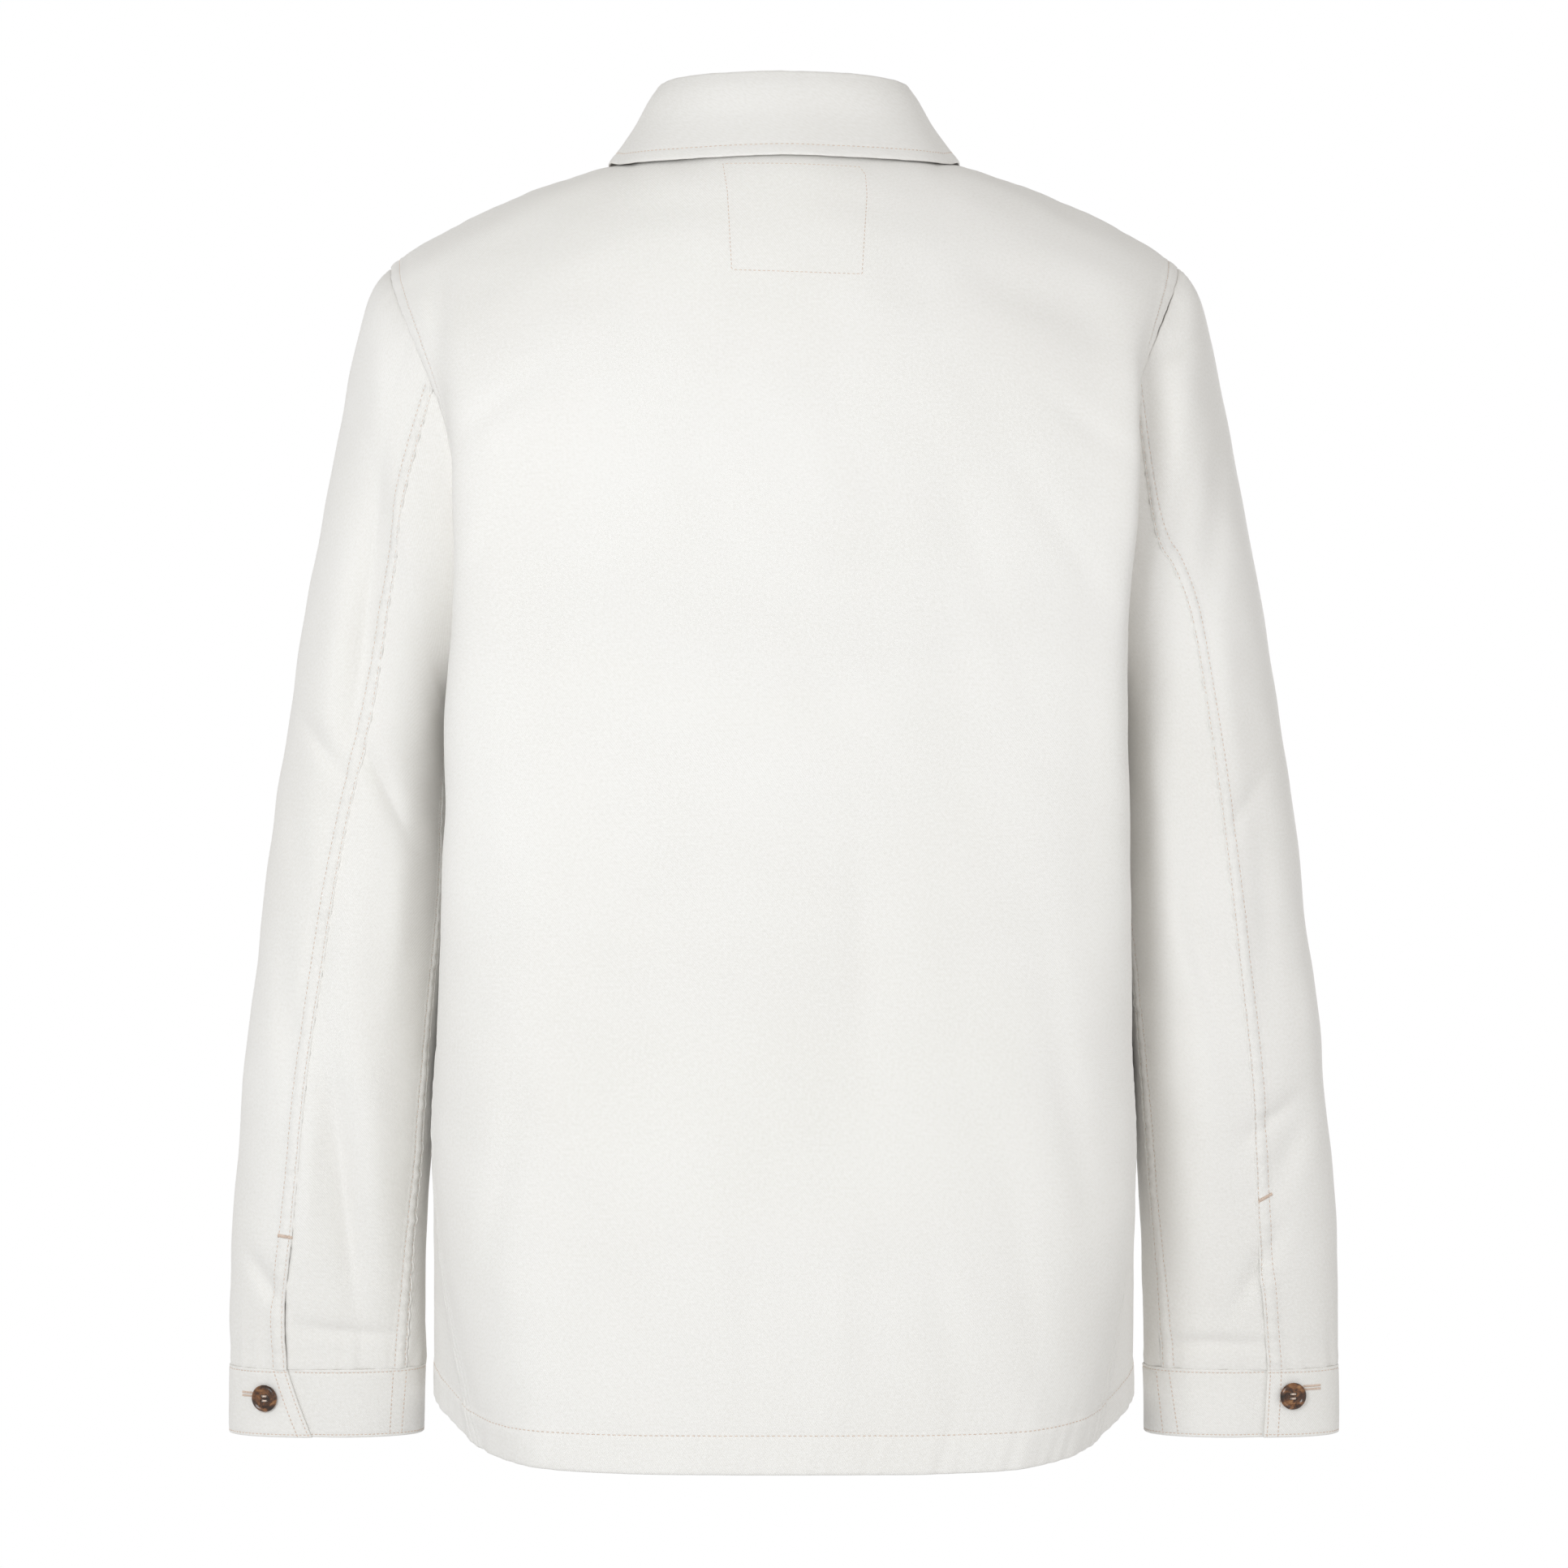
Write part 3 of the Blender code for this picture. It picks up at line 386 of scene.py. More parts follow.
TORSO_TURN, SLEEVE_TURN = 60.0, 26.0
SLEEVE_MIDDLE_Z, SLEEVE_MIDDLE_Y = (-670, -100), (-22, -6)


def creased(grid: np.ndarray, folds: list[Fold], middle_y: np.ndarray | float, turn: float) -> np.ndarray:
    """Grid with its folds pressed in or raised along Y.

    Args:
        grid: Points of the cloth.
        folds: The folds.
        middle_y: Y of the middle of the tube that the cloth makes.
        turn: Depth from there over which the folds come to their full height.

    Returns:
        The moved points.
    """
    moved = grid.copy()
    for fold in folds:
        moved[..., 1] += fold.height_at(grid, middle_y, turn)
    return moved


@dataclass(frozen=True)
class Rumple:
    """Small unevenness of worn cloth, the same at each place for all the pieces."""

    waves: int = 16
    shortest: float = 26.0
    longest: float = 120.0
    height: float = 0.42

    def at(self, points: np.ndarray) -> np.ndarray:
        """Height of the unevenness at points."""
        draw = np.random.default_rng(SEED)
        total = np.zeros(points.shape[:-1])
        for number in range(self.waves):
            length = self.shortest * (self.longest / self.shortest) ** (number / (self.waves - 1))
            way = unit(draw.normal(size=3)) * 2 * math.pi / length
            total += np.sin(points @ way + draw.uniform(0, 2 * math.pi)) * (length / self.longest) ** 0.6
        return self.height * total / math.sqrt(self.waves / 3)


@dataclass(frozen=True)
class Edge:
    """Border of a panel: its relief by distance from the border, and how much the sewing puckers it."""

    relief: tuple[tuple[float, float], ...]
    pucker: float = 0.0
    reach: float = 14.0
    wave: float = 11.0
    puff: float = 0.0

    def marks(self, spacing: float) -> np.ndarray:
        """Distances from the border at which the grid needs a line, no further apart than the spacing."""
        places = [0.0]
        for distance, _ in self.relief[1:]:
            count = max(1, math.ceil((distance - places[-1]) / spacing))
            places += [places[-1] + (distance - places[-1]) * k / count for k in range(1, count + 1)]
        return np.array(places)

    def height_at(self, distance: np.ndarray, run: np.ndarray, seed: int) -> np.ndarray:
        """Relief and pucker.

        Args:
            distance: Distance of each point from the border.
            run: Distance of each point along the border.
            seed: Number that sets the pucker's waves.

        Returns:
            The height of each point.
        """
        far, high = zip(*self.relief)
        height = np.interp(distance, far, high)
        drift = PUFF_SWAY * np.sin(run / PUFF_SWAY_RUN)
        height = height * (1 + self.puff * np.sin(run * 2 * math.pi / PUFF_WAVE + drift))
        if self.pucker:
            draw = np.random.default_rng(seed)
            ripple = sum(np.sin(run * 2 * math.pi / (self.wave * scale) + draw.uniform(0, 6.28)) * share
                         for scale, share in ((0.72, 0.45), (1.0, 0.6), (1.45, 0.45), (2.3, 0.4)))
            height = height + self.pucker * ripple * np.exp(-(distance / self.reach) ** 1.5)
        return height


HEM = Edge(((0, -0.5), (0.35, 0.0), (0.9, 0.4), (2.2, 0.6), (12, 0.65), (18.6, 0.6), (19.8, 0.4),
            (20.6, 0.0), (21.4, 0.35), (22.1, 0.25), (22.6, -0.25), (24.5, 0)), 0.36, 28, 13)
FELLED = Edge(((0, -0.5), (0.3, 0.2), (0.7, 0.8), (1.0, 0.7), (1.6, 0.1), (2.3, 0.65), (4.6, 0.9), (7.0, 0.6),
               (7.8, -0.05), (8.6, 0.3), (9.4, 0), (11, 0)), 0.32, 13, 9, 0.45)
LAID_UNDER = Edge(((0, -2.4), (7.0, -2.4), (7.8, -1.3), (8.6, -0.5), (10.2, 0)), 0.2, 18, 12)
CUT_UNDER = Edge(((0, -0.8), (0.6, -0.45), (1.4, -0.12), (2.4, 0)), 0.22, 12, 12)
FELLED_OVER = Edge(((0, -0.4), (0.3, 0.3), (0.8, 0.8), (1.6, 0.75), (3.5, 0.85), (5.6, 0.65), (6.6, 0.0),
                    (7.5, 0.45), (8.5, 0.3), (9.5, 0), (12, 0)))
PLAIN = Edge(((0, -0.45), (0.5, -0.15), (1.2, 0), (2.5, 0)), 0.12, 12, 13)
RAW = Edge(((0, 0), (2, 0)))
COLLAR_EDGE = Edge(((0, -0.8), (0.3, -0.25), (0.8, 0.05), (2, 0.12), (5.9, 0.1), (7, -0.25), (8.1, 0.05),
                    (10, 0)), 0.1, 12, 15)
CUFF_HEM = Edge(((0, -0.9), (0.3, -0.3), (0.8, 0.05), (1.2, 0.02), (1.8, -0.2), (2.5, 0.1), (4.5, 0.1)),
                0.12, 12, 10)
CUFF_SEAM = Edge(((0, -0.5), (0.3, 0.0), (0.8, 0.15), (1.2, 0.05), (1.8, -0.3), (2.5, 0.15), (4.5, 0.1)),
                 0.22, 12, 9)
INTO_CUFF = Edge(((0, -2.8), (4.0, -2.8), (4.8, -0.25), (5.6, 0.1), (9, 0.35), (15, 0)), 0.35, 26, 13)
BAND = Edge(((0, -0.5), (0.35, 0.1), (0.9, 0.4), (1.8, 0.12), (2.7, 0.4), (27.6, 0.45), (28.6, 0.3),
             (29.4, 0.05), (30.2, 0.3), (30.8, 0), (33, 0)), 0.12, 16, 14)
VENT_EDGE = Edge(((0, -0.7), (0.3, -0.2), (0.8, 0.05), (1.8, -0.15), (2.8, 0.05), (4, 0)), 0.1, 10, 12)


# ---------------------------------------------------------------- panels

def respaced(grid: np.ndarray, near: np.ndarray, far: np.ndarray, spacing: float) -> np.ndarray:
    """Grid with its rows at marked distances from both ends, and even between them.

    Args:
        grid: Points; the rows run along the first axis.
        near: Distances from the first row.
        far: Distances from the last row.
        spacing: Largest distance between the rows in the middle.

    Returns:
        The new grid.
    """
    steps = np.linalg.norm(np.diff(grid, axis=0), axis=-1)
    run = np.concatenate([np.zeros((1, grid.shape[1])), np.cumsum(steps, axis=0)])
    total = run[-1]
    shrink = np.minimum(1.0, 0.45 * total / max(near[-1], far[-1], 1e-6))
    first, last = near[:, None] * shrink, total - far[::-1, None] * shrink
    count = max(2, math.ceil(float((last[0] - first[-1]).max()) / spacing))
    share = (np.arange(1, count) / count)[:, None]
    places = np.concatenate([first, first[-1] + (last[0] - first[-1]) * share, last])
    out = np.empty(places.shape + (3,))
    for column in range(grid.shape[1]):
        for axis in range(3):
            out[:, column, axis] = np.interp(places[:, column], run[:, column], grid[:, column, axis])
    return out


def run_from(grid: np.ndarray, border: Border) -> np.ndarray:
    """Distance of each point of a grid from one of its borders, along the grid's lines."""
    axis = 0 if border in (Border.BOTTOM, Border.TOP) else 1
    line = np.moveaxis(grid, axis, 0)
    backwards = border in (Border.TOP, Border.END)
    line = line[::-1] if backwards else line
    steps = np.linalg.norm(np.diff(line, axis=0), axis=-1)
    run = np.concatenate([np.zeros((1, line.shape[1])), np.cumsum(steps, axis=0)])
    return np.moveaxis(run[::-1] if backwards else run, 0, axis)


@dataclass
class Panel:
    """A piece of cloth as a grid of points with a relief, made into a wall.

    The points are the middle of the cloth. The outer face stands off it by half the wall and the relief.
    """

    name: str
    grid: np.ndarray
    outward: int
    edges: dict[Border, Edge]
    spacing: float = 3.0
    wall: float = CLOTH
    rumple: float = 1.0
    seed: int = 1
    lift: np.ndarray | None = None
    outer: np.ndarray = field(init=False)
    normal: np.ndarray = field(init=False)

    def __post_init__(self) -> None:
        """Spaces the grid out and works out the outer face."""
        marks = {border: self.edges.get(border, RAW).marks(self.spacing) for border in Border}
        grid = respaced(self.grid, marks[Border.BOTTOM], marks[Border.TOP], self.spacing)
        turned = respaced(np.swapaxes(grid, 0, 1), marks[Border.START], marks[Border.END], self.spacing)
        self.grid = np.swapaxes(turned, 0, 1)
        self.normal = self.normals(self.grid)
        self.distance = {border: run_from(self.grid, border) for border in Border}
        self.raise_by(self.relief())

    def normals(self, grid: np.ndarray) -> np.ndarray:
        """Way out at each point of a grid."""
        return unit(np.cross(np.gradient(grid, axis=1), np.gradient(grid, axis=0))) * self.outward

    def relief(self) -> np.ndarray:
        """Height of the outer face over the plain wall."""
        height = Rumple().at(self.grid) * self.rumple
        for number, (border, edge) in enumerate(self.edges.items()):
            side = Border.START if border in (Border.BOTTOM, Border.TOP) else Border.BOTTOM
            height += edge.height_at(self.distance[border], self.distance[side], self.seed * 10 + number)
        return height

    def raise_by(self, height: np.ndarray) -> None:
        """Sets the outer face to stand off the middle of the cloth by half the wall and a height."""
        self.outer = self.grid + self.normal * (self.wall / 2 + height)[..., None]

    def add(self, height: np.ndarray) -> None:
        """Raises the outer face by a further height."""
        self.outer = self.outer + self.normal * height[..., None]

    def line(self, border: Border, distance: float, first: float = 0.0, last: float = 1.0) -> tuple:
        """Line on the outer face at a distance from a border.

        Args:
            border: The border.
            distance: Distance from it.
            first: Share of the border's length where the line starts.
            last: Share where it ends.

        Returns:
            The points and the way out at each of them.
        """
        axis = 0 if border in (Border.BOTTOM, Border.TOP) else 1
        backwards = border in (Border.TOP, Border.END)
        face, out, run = (np.moveaxis(a, axis, 0) for a in (self.outer, self.normal, self.distance[border]))
        if backwards:
            face, out, run = face[::-1], out[::-1], run[::-1]
        points = np.array([[np.interp(distance, run[:, j], a[:, j, k]) for k in range(3)]
                           for a in (face, out) for j in range(face.shape[1])]).reshape(2, -1, 3)
        start, stop = (round(share * (points.shape[1] - 1)) for share in (first, last))
        return points[0, start:stop + 1], unit(points[1, start:stop + 1])

    def tree(self) -> BVHTree:
        """Search tree over the outer face."""
        rows, columns = self.outer.shape[:2]
        index = np.arange(rows * columns).reshape(rows, columns)
        quads = np.stack([index[:-1, :-1], index[:-1, 1:], index[1:, 1:], index[1:, :-1]], axis=-1)
        return BVHTree.FromPolygons(self.outer.reshape(-1, 3).tolist(), quads.reshape(-1, 4).tolist())

    def build(self, finish: bpy.types.Material) -> bpy.types.Object:
        """Makes the wall.

        Args:
            finish: The material.

        Returns:
            The object, with the cloth's own grain as its UV map, in metres.
        """
        rows, columns = self.outer.shape[:2]
        built = bmesh.new()
        bmesh.ops.create_grid(built, x_segments=columns - 1, y_segments=rows - 1, size=1.0)
        mesh = bpy.data.meshes.new(self.name)
        built.to_mesh(mesh)
        built.free()
        places = np.empty(len(mesh.vertices) * 3)
        mesh.vertices.foreach_get("co", places)
        places = places.reshape(-1, 3)
        column = np.rint((places[:, 0] + 1) / 2 * (columns - 1)).astype(int)
        row = np.rint((places[:, 1] + 1) / 2 * (rows - 1)).astype(int)
        mesh.vertices.foreach_set("co", (self.outer[row, column] * MM).ravel())
        across, up = self.distance[Border.START] * self.outward, self.distance[Border.BOTTOM]
        grain = np.stack([across[row, column], up[row, column]], axis=-1) * MM
        corner = np.empty(len(mesh.loops), dtype=np.int32)
        mesh.loops.foreach_get("vertex_index", corner)
        layer = mesh.uv_layers.new(name="UVMap")
        layer.data.foreach_set("uv", grain[corner].ravel())
        if self.outward < 0:
            mesh.flip_normals()
        mesh.update()
        piece = bpy.data.objects.new(self.name, mesh)
        bpy.context.scene.collection.objects.link(piece)
        mesh.materials.append(finish)
        mesh.shade_smooth()
        wall = piece.modifiers.new("wall", "SOLIDIFY")
        wall.thickness = self.wall * MM
        wall.offset = -1.0
        return piece


# ---------------------------------------------------------------- finishes

@dataclass(frozen=True)
class Node:
    """Short hand for adding nodes to a material."""

    tree: bpy.types.NodeTree

    def add(self, kind: str, inputs: dict | None = None, **values: object) -> bpy.types.Node:
        """Adds a node.

        Args:
            kind: The node's type.
            inputs: Values or output sockets for its input sockets, by name or number.
            values: The node's own settings.

        Returns:
            The node.
        """
        node = self.tree.nodes.new(kind)
        for key, value in values.items():
            setattr(node, key, value)
        for key, value in (inputs or {}).items():
            if isinstance(value, bpy.types.NodeSocket):
                self.tree.links.new(value, node.inputs[key])
            else:
                node.inputs[key].default_value = value
        return node

    def shades(self, factor: bpy.types.NodeSocket, stops: list[tuple]) -> bpy.types.NodeSocket:
        """Colour ramp over a factor, from stops of a place and a colour."""
        ramp = self.add("ShaderNodeValToRGB", {"Fac": factor})
        for number, (place, colour) in enumerate(stops):
            stop = ramp.color_ramp.elements[number] if number < 2 else ramp.color_ramp.elements.new(place)
            stop.position, stop.color = place, (*colour, 1)
        return ramp.outputs["Color"]


def blank(name: str) -> tuple[bpy.types.Material, Node, bpy.types.Node]:
    """New material, its node helper and its shader."""
    material = bpy.data.materials.new(name)
    material.use_nodes = True
    tree = material.node_tree
    return material, Node(tree), tree.nodes["Principled BSDF"]


@dataclass(frozen=True)
class Twill:
    """Off-white cotton twill with fine diagonal ribs."""

    light: tuple = (0.905, 0.889, 0.86)
    dark: tuple = (0.83, 0.809, 0.768)
    roughness: float = 0.88
    rib_scale: float = 511.0
    rib_depth: float = 0.0002
    slub_scale: float = 620.0

    def build(self) -> bpy.types.Material:
        """Makes the material."""
        material, node, shader = blank("twill")
        grain = node.add("ShaderNodeUVMap", uv_map="UVMap").outputs["UV"]
        ribs = node.add("ShaderNodeTexWave", {"Vector": grain, "Scale": self.rib_scale, "Distortion": 0.6,
                                              "Detail": 1.0, "Detail Scale": 0.4}, bands_direction="DIAGONAL")
        yarn = node.add("ShaderNodeTexNoise", {"Vector": grain, "Scale": self.slub_scale, "Detail": 3.0})
        place = node.add("ShaderNodeTexCoord").outputs["Object"]
        cloud = node.add("ShaderNodeTexNoise", {"Vector": place, "Scale": 7.0, "Detail": 3.0})
        blend = node.add("ShaderNodeMix", {0: 0.62, 2: cloud.outputs["Fac"], 3: yarn.outputs["Fac"]})
        blend = node.add("ShaderNodeMix", {0: 0.16, 2: blend.outputs[0], 3: ribs.outputs["Fac"]})
        colour = node.shades(blend.outputs[0], [(0.34, self.dark), (0.6, self.light)])
        height = node.add("ShaderNodeMix", {0: 0.45, 2: ribs.outputs["Fac"], 3: yarn.outputs["Fac"]})
        bump = node.add("ShaderNodeBump", {"Height": height.outputs[0], "Strength": 0.55,
                                           "Distance": self.rib_depth})
        node.tree.links.new(colour, shader.inputs["Base Color"])
        node.tree.links.new(bump.outputs["Normal"], shader.inputs["Normal"])
        shader.inputs["Roughness"].default_value = self.roughness
        shader.inputs["Specular IOR Level"].default_value = 0.25
        shader.inputs["Sheen Weight"].default_value = 0.12
        shader.inputs["Sheen Roughness"].default_value = 0.6
        return material


@dataclass(frozen=True)
class Thread:
    """Pale sewing thread, a little pinker than the cloth."""

    light: tuple = (0.81, 0.67, 0.57)
    dark: tuple = (0.66, 0.51, 0.41)

    def build(self) -> bpy.types.Material:
        """Makes the material."""
        material, node, shader = blank("thread")
        place = node.add("ShaderNodeTexCoord").outputs["Object"]
        twist = node.add("ShaderNodeTexNoise", {"Vector": place, "Scale": 1500.0, "Detail": 2.0})
        node.tree.links.new(node.shades(twist.outputs["Fac"], [(0.35, self.dark), (0.65, self.light)]),
                            shader.inputs["Base Color"])
        bump = node.add("ShaderNodeBump", {"Height": twist.outputs["Fac"], "Strength": 0.4,
                                           "Distance": 0.0001})
        node.tree.links.new(bump.outputs["Normal"], shader.inputs["Normal"])
        shader.inputs["Roughness"].default_value = 0.6
        return material


@dataclass(frozen=True)
class Tortoiseshell:
    """Polished brown resin with amber clouds."""

    stops: tuple = ((0.30, (0.012, 0.006, 0.003)), (0.48, (0.06, 0.022, 0.008)), (0.60, (0.22, 0.09, 0.03)),
                    (0.74, (0.42, 0.22, 0.09)))

    def build(self) -> bpy.types.Material:
        """Makes the material."""
        material, node, shader = blank("button_resin")
        place = node.add("ShaderNodeTexCoord").outputs["Object"]
        cloud = node.add("ShaderNodeTexNoise", {"Vector": place, "Scale": 150.0, "Detail": 2.5,
                                                "Distortion": 1.2})
        node.tree.links.new(node.shades(cloud.outputs["Fac"], list(self.stops)), shader.inputs["Base Color"])
        wear = node.add("ShaderNodeTexNoise", {"Vector": place, "Scale": 900.0})
        rough = node.add("ShaderNodeMapRange", {"Value": wear.outputs["Fac"], "To Min": 0.2, "To Max": 0.36})
        node.tree.links.new(rough.outputs["Result"], shader.inputs["Roughness"])
        shader.inputs["Coat Weight"].default_value = 0.3
        shader.inputs["Coat Roughness"].default_value = 0.12
        return material


@dataclass(frozen=True)
class Paper:
    """White backdrop, which looks evenly lit and throws a soft light of its own."""

    glow: float = 0.42
    bounce: float = 0.3
    shown: float = 1.0

    def build(self) -> bpy.types.Material:
        """Makes the material."""
        material, node, shader = blank("backdrop")
        shader.inputs["Base Color"].default_value = (self.bounce, self.bounce, self.bounce, 1)
        shader.inputs["Roughness"].default_value = 1.0
        shader.inputs["Specular IOR Level"].default_value = 0.0
        shader.inputs["Emission Color"].default_value = (1, 1, 1, 1)
        shader.inputs["Emission Strength"].default_value = self.glow
        seen = node.add("ShaderNodeLightPath").outputs["Is Camera Ray"]
        white = node.add("ShaderNodeEmission", {"Strength": self.shown})
        mixed = node.add("ShaderNodeMixShader", {0: seen, 1: shader.outputs[0], 2: white.outputs[0]})
        node.tree.links.new(mixed.outputs[0], node.tree.nodes["Material Output"].inputs["Surface"])
        return material


# ---------------------------------------------------------------- sewing

@dataclass
class Sewing:
    """Rows of stitches of one part of the jacket, joined in one mesh."""

    name: str
    pitch: float = 2.8
    length: float = 1.95
    width: float = 0.62
    height: float = 0.4
    built: bmesh.types.BMesh = field(default_factory=bmesh.new)

    def stitch(self, point: np.ndarray, way: np.ndarray, out: np.ndarray, length: float,
               width: float) -> None:
        """Adds one stitch.

        Args:
            point: Its middle.
            way: Its direction.
            out: The way out of the cloth.
            length: Its length.
            width: Its width.
        """
        x = Vector(way).normalized()
        y = Vector(out).cross(x).normalized()
        z = x.cross(y)
        turn = Matrix((x, y, z)).transposed().to_4x4()
        size = Matrix.Diagonal((length / 2 * MM, width / 2 * MM, self.height / 2 * MM, 1))
        middle = Vector((point + np.asarray(out) * self.height * 0.2) * MM)
        bmesh.ops.create_icosphere(self.built, subdivisions=1, radius=1.0,
                                   matrix=Matrix.Translation(middle) @ turn @ size)

    def row(self, line: tuple[np.ndarray, np.ndarray]) -> None:
        """Sews along a line.

        Args:
            line: Points on the cloth and the way out at each of them.
        """
        points, out = line
        run = chord(points)
        count = max(1, int(run[-1] / self.pitch))
        places = (np.arange(count) + 0.5) * run[-1] / count
        reads = ((places, points), (places - 1, points), (places + 1, points), (places, out))
        at, before, after, up = (
            np.stack([np.interp(np.clip(p, 0, run[-1]), run, a[:, k]) for k in range(3)], -1)
            for p, a in reads)
        for number in range(count):
            self.stitch(at[number], after[number] - before[number], up[number], self.length, self.width)

    def bar(self, line: tuple[np.ndarray, np.ndarray], width: float, pitch: float = 0.42) -> None:
        """Sews a dense bar of crosswise stitches along a line.

        Args:
            line: Points on the cloth and the way out at each of them.
            width: Width of the bar.
            pitch: Distance between the stitches.
        """
        points, out = line
        run = chord(points)
        for place in np.arange(0, run[-1], pitch):
            at, up = (np.array([np.interp(place, run, a[:, k]) for k in range(3)]) for a in (points, out))
            way = np.cross(up, points[-1] - points[0])
            self.stitch(at, way, up, width, pitch * 1.25)

    def finish(self, finish: bpy.types.Material) -> bpy.types.Object:
        """Makes the object."""
        mesh = bpy.data.meshes.new(self.name)
        self.built.to_mesh(mesh)
        self.built.free()
        mesh.materials.append(finish)
        mesh.shade_smooth()
        piece = bpy.data.objects.new(self.name, mesh)
        bpy.context.scene.collection.objects.link(piece)
        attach(piece, "root")
        LOG.info("%s: %d triangles", self.name, len(mesh.polygons))
        return piece


@dataclass(frozen=True)
class Facing:
    """Finds points on a panel's outer face by looking along Y."""

    panel: Panel
    from_back: bool = True

    def points(self, places: list[tuple[float, float]], step: float = 2.0) -> tuple[np.ndarray, np.ndarray]:
        """Points on the cloth under a line drawn on the picture plane.

        Args:
            places: Corners of the line, as x, z.
            step: Distance between the points.

        Returns:
            The points and the way out at each of them.
        """
        tree, way = self.panel.tree(), 1.0 if self.from_back else -1.0
        corners = np.array(places, float)
        run = chord(corners)
        at = np.linspace(0, run[-1], max(2, int(run[-1] / step) + 1))
        found = []
        for x, z in zip(np.interp(at, run, corners[:, 0]), np.interp(at, run, corners[:, 1])):
            point, normal, _, _ = tree.ray_cast(Vector((x, 500 * way, z)), Vector((0, -way, 0)))
            if point is not None:
                found.append((tuple(point), tuple(normal if normal.y * way > 0 else -normal)))
        points, normals = (np.array(a) for a in zip(*found))
        return points, normals


# ---------------------------------------------------------------- torso

@dataclass
class Torso:
    """The back and the two fronts."""

    rows: int = 361
    pit_row: int = 200
    columns_per_line: int = 24
    cloth: dict[str, Panel] = field(default_factory=dict)

    def spread(self, centre: list, lines: list, folds: dict[Side, list], edge: list,
               neck_seam: list) -> np.ndarray:
        """Fine grid over a whole front or back, from the wearer's right edge to the left one, hem to top.

        Args:
            centre: The centre line.
            lines: The lines between the centre and the fold.
            folds: The line at which the cloth turns, for each side.
            edge: The side seam and armhole.
            neck_seam: The neck seam.

        Returns:
            The grid.
        """
        halves = {side: lines + [folds[side], edge] for side in Side}
        levels = np.mean([chord(line) / chord(line)[-1] for line in (centre, edge)], axis=0)
        pit = levels[PIT_LEVEL]
        rows = np.concatenate([np.linspace(0, pit, self.pit_row, endpoint=False),
                               np.linspace(pit, 1, self.rows - self.pit_row)])
        drawn = [through(levels, mirrored(line, Side.RIGHT), rows) for line in halves[Side.RIGHT][::-1]]
        drawn += [through(levels, np.array(centre, float), rows)]
        drawn += [through(levels, mirrored(line, Side.LEFT), rows) for line in halves[Side.LEFT]]
        drawn = np.array(drawn)
        middle = len(lines) + 2
        places = np.linspace(0, 2 * middle, 2 * middle * self.columns_per_line + 1)
        grid = np.empty((len(rows), len(places), 3))
        for number in range(len(rows)):
            knots = chord(drawn[:, number], 0.5)
            grid[number] = through(knots, drawn[:, number], np.interp(places, np.arange(len(knots)), knots))
        share = np.abs(places - middle) / 2
        run = np.interp(share, (0, 0.5, 1), (1, THROAT_RUN, 0)) if neck_seam is NECK_FRONT else share
        out = (np.abs(grid[-1, :, 0]) - SHOULDER[0][0]) / (SHOULDER[-1][0] - SHOULDER[0][0])
        curve = along if neck_seam is NECK_FRONT else from_centre
        neck, shoulder = curve(neck_seam, np.clip(run, 0, 1)), shoulder_line(np.clip(out, 0, 1))
        top = np.where((share <= 1)[:, None], neck, shoulder)
        top[:, 0] *= np.where(places < middle, -1, 1)
        near_top = smooth_step((rows - 1 + CORRECTION) / CORRECTION)
        grid += (top - grid[-1])[None] * near_top[:, None, None]
        return creased(grid, TORSO_FOLDS, 0.0, TORSO_TURN)

    def shape(self) -> None:
        """Works out the grids and the panels."""
        back = self.spread(BACK_CENTRE, [BACK_NAPE, BACK_NECK, BACK_BLADE],
                           {Side.LEFT: BACK_FOLD_LEFT, Side.RIGHT: BACK_FOLD_RIGHT}, BACK_EDGE, NECK_BACK)
        front = self.spread(FRONT_CENTRE, [FRONT_THROAT, FRONT_NECK, FRONT_CHEST],
                            {Side.LEFT: FRONT_FOLD, Side.RIGHT: FRONT_FOLD}, FRONT_EDGE, NECK_FRONT)
        for column in (0, -1):
            front[:self.pit_row + 1, column] = back[:self.pit_row + 1, column]
            front[-1, column] = back[-1, column]
        self.back, self.front = back, front
        side = Edge(FELLED_OVER.relief, 0.22, 14, 13)
        self.cloth["back"] = Panel(
            "back_cloth", back, -1,
            {Border.BOTTOM: HEM, Border.START: side, Border.END: side, Border.TOP: PLAIN}, 3.15, seed=1)
        for which in Side:
            half = self.lapped(which)
            band = BAND if which is Side.LEFT else VENT_EDGE
            outward = which.sign
            self.cloth["front_" + which.value] = Panel(
                f"front_{which.value}_cloth", half, outward,
                {Border.BOTTOM: HEM, Border.START: band, Border.END: side, Border.TOP: PLAIN}, 3.0, seed=2)

    def lapped(self, side: Side) -> np.ndarray:
        """Grid of one front, which passes the centre by the lap.

        Args:
            side: The wearer's side.

        Returns:
            The grid, from the lapping edge to the side seam.
        """
        middle = self.front.shape[1] // 2
        whole = self.front if side is Side.LEFT else self.front[:, ::-1]
        out = []
        for row in whole:
            run = chord(row)
            places = np.linspace(run[middle] - FRONT_LAP, run[-1], len(run) - middle + 8)
            out.append(np.stack([np.interp(places, run, row[:, k]) for k in range(3)], axis=-1))
        grid = np.array(out)
        reach = run_from(grid, Border.START)
        normal = unit(np.cross(np.gradient(grid, axis=1), np.gradient(grid, axis=0))) * side.sign
        lift = LAP_LIFT * side.sign * (1 - smooth_step((reach - 2 * FRONT_LAP) / LAP_FADE))
        return grid + normal * lift[..., None]

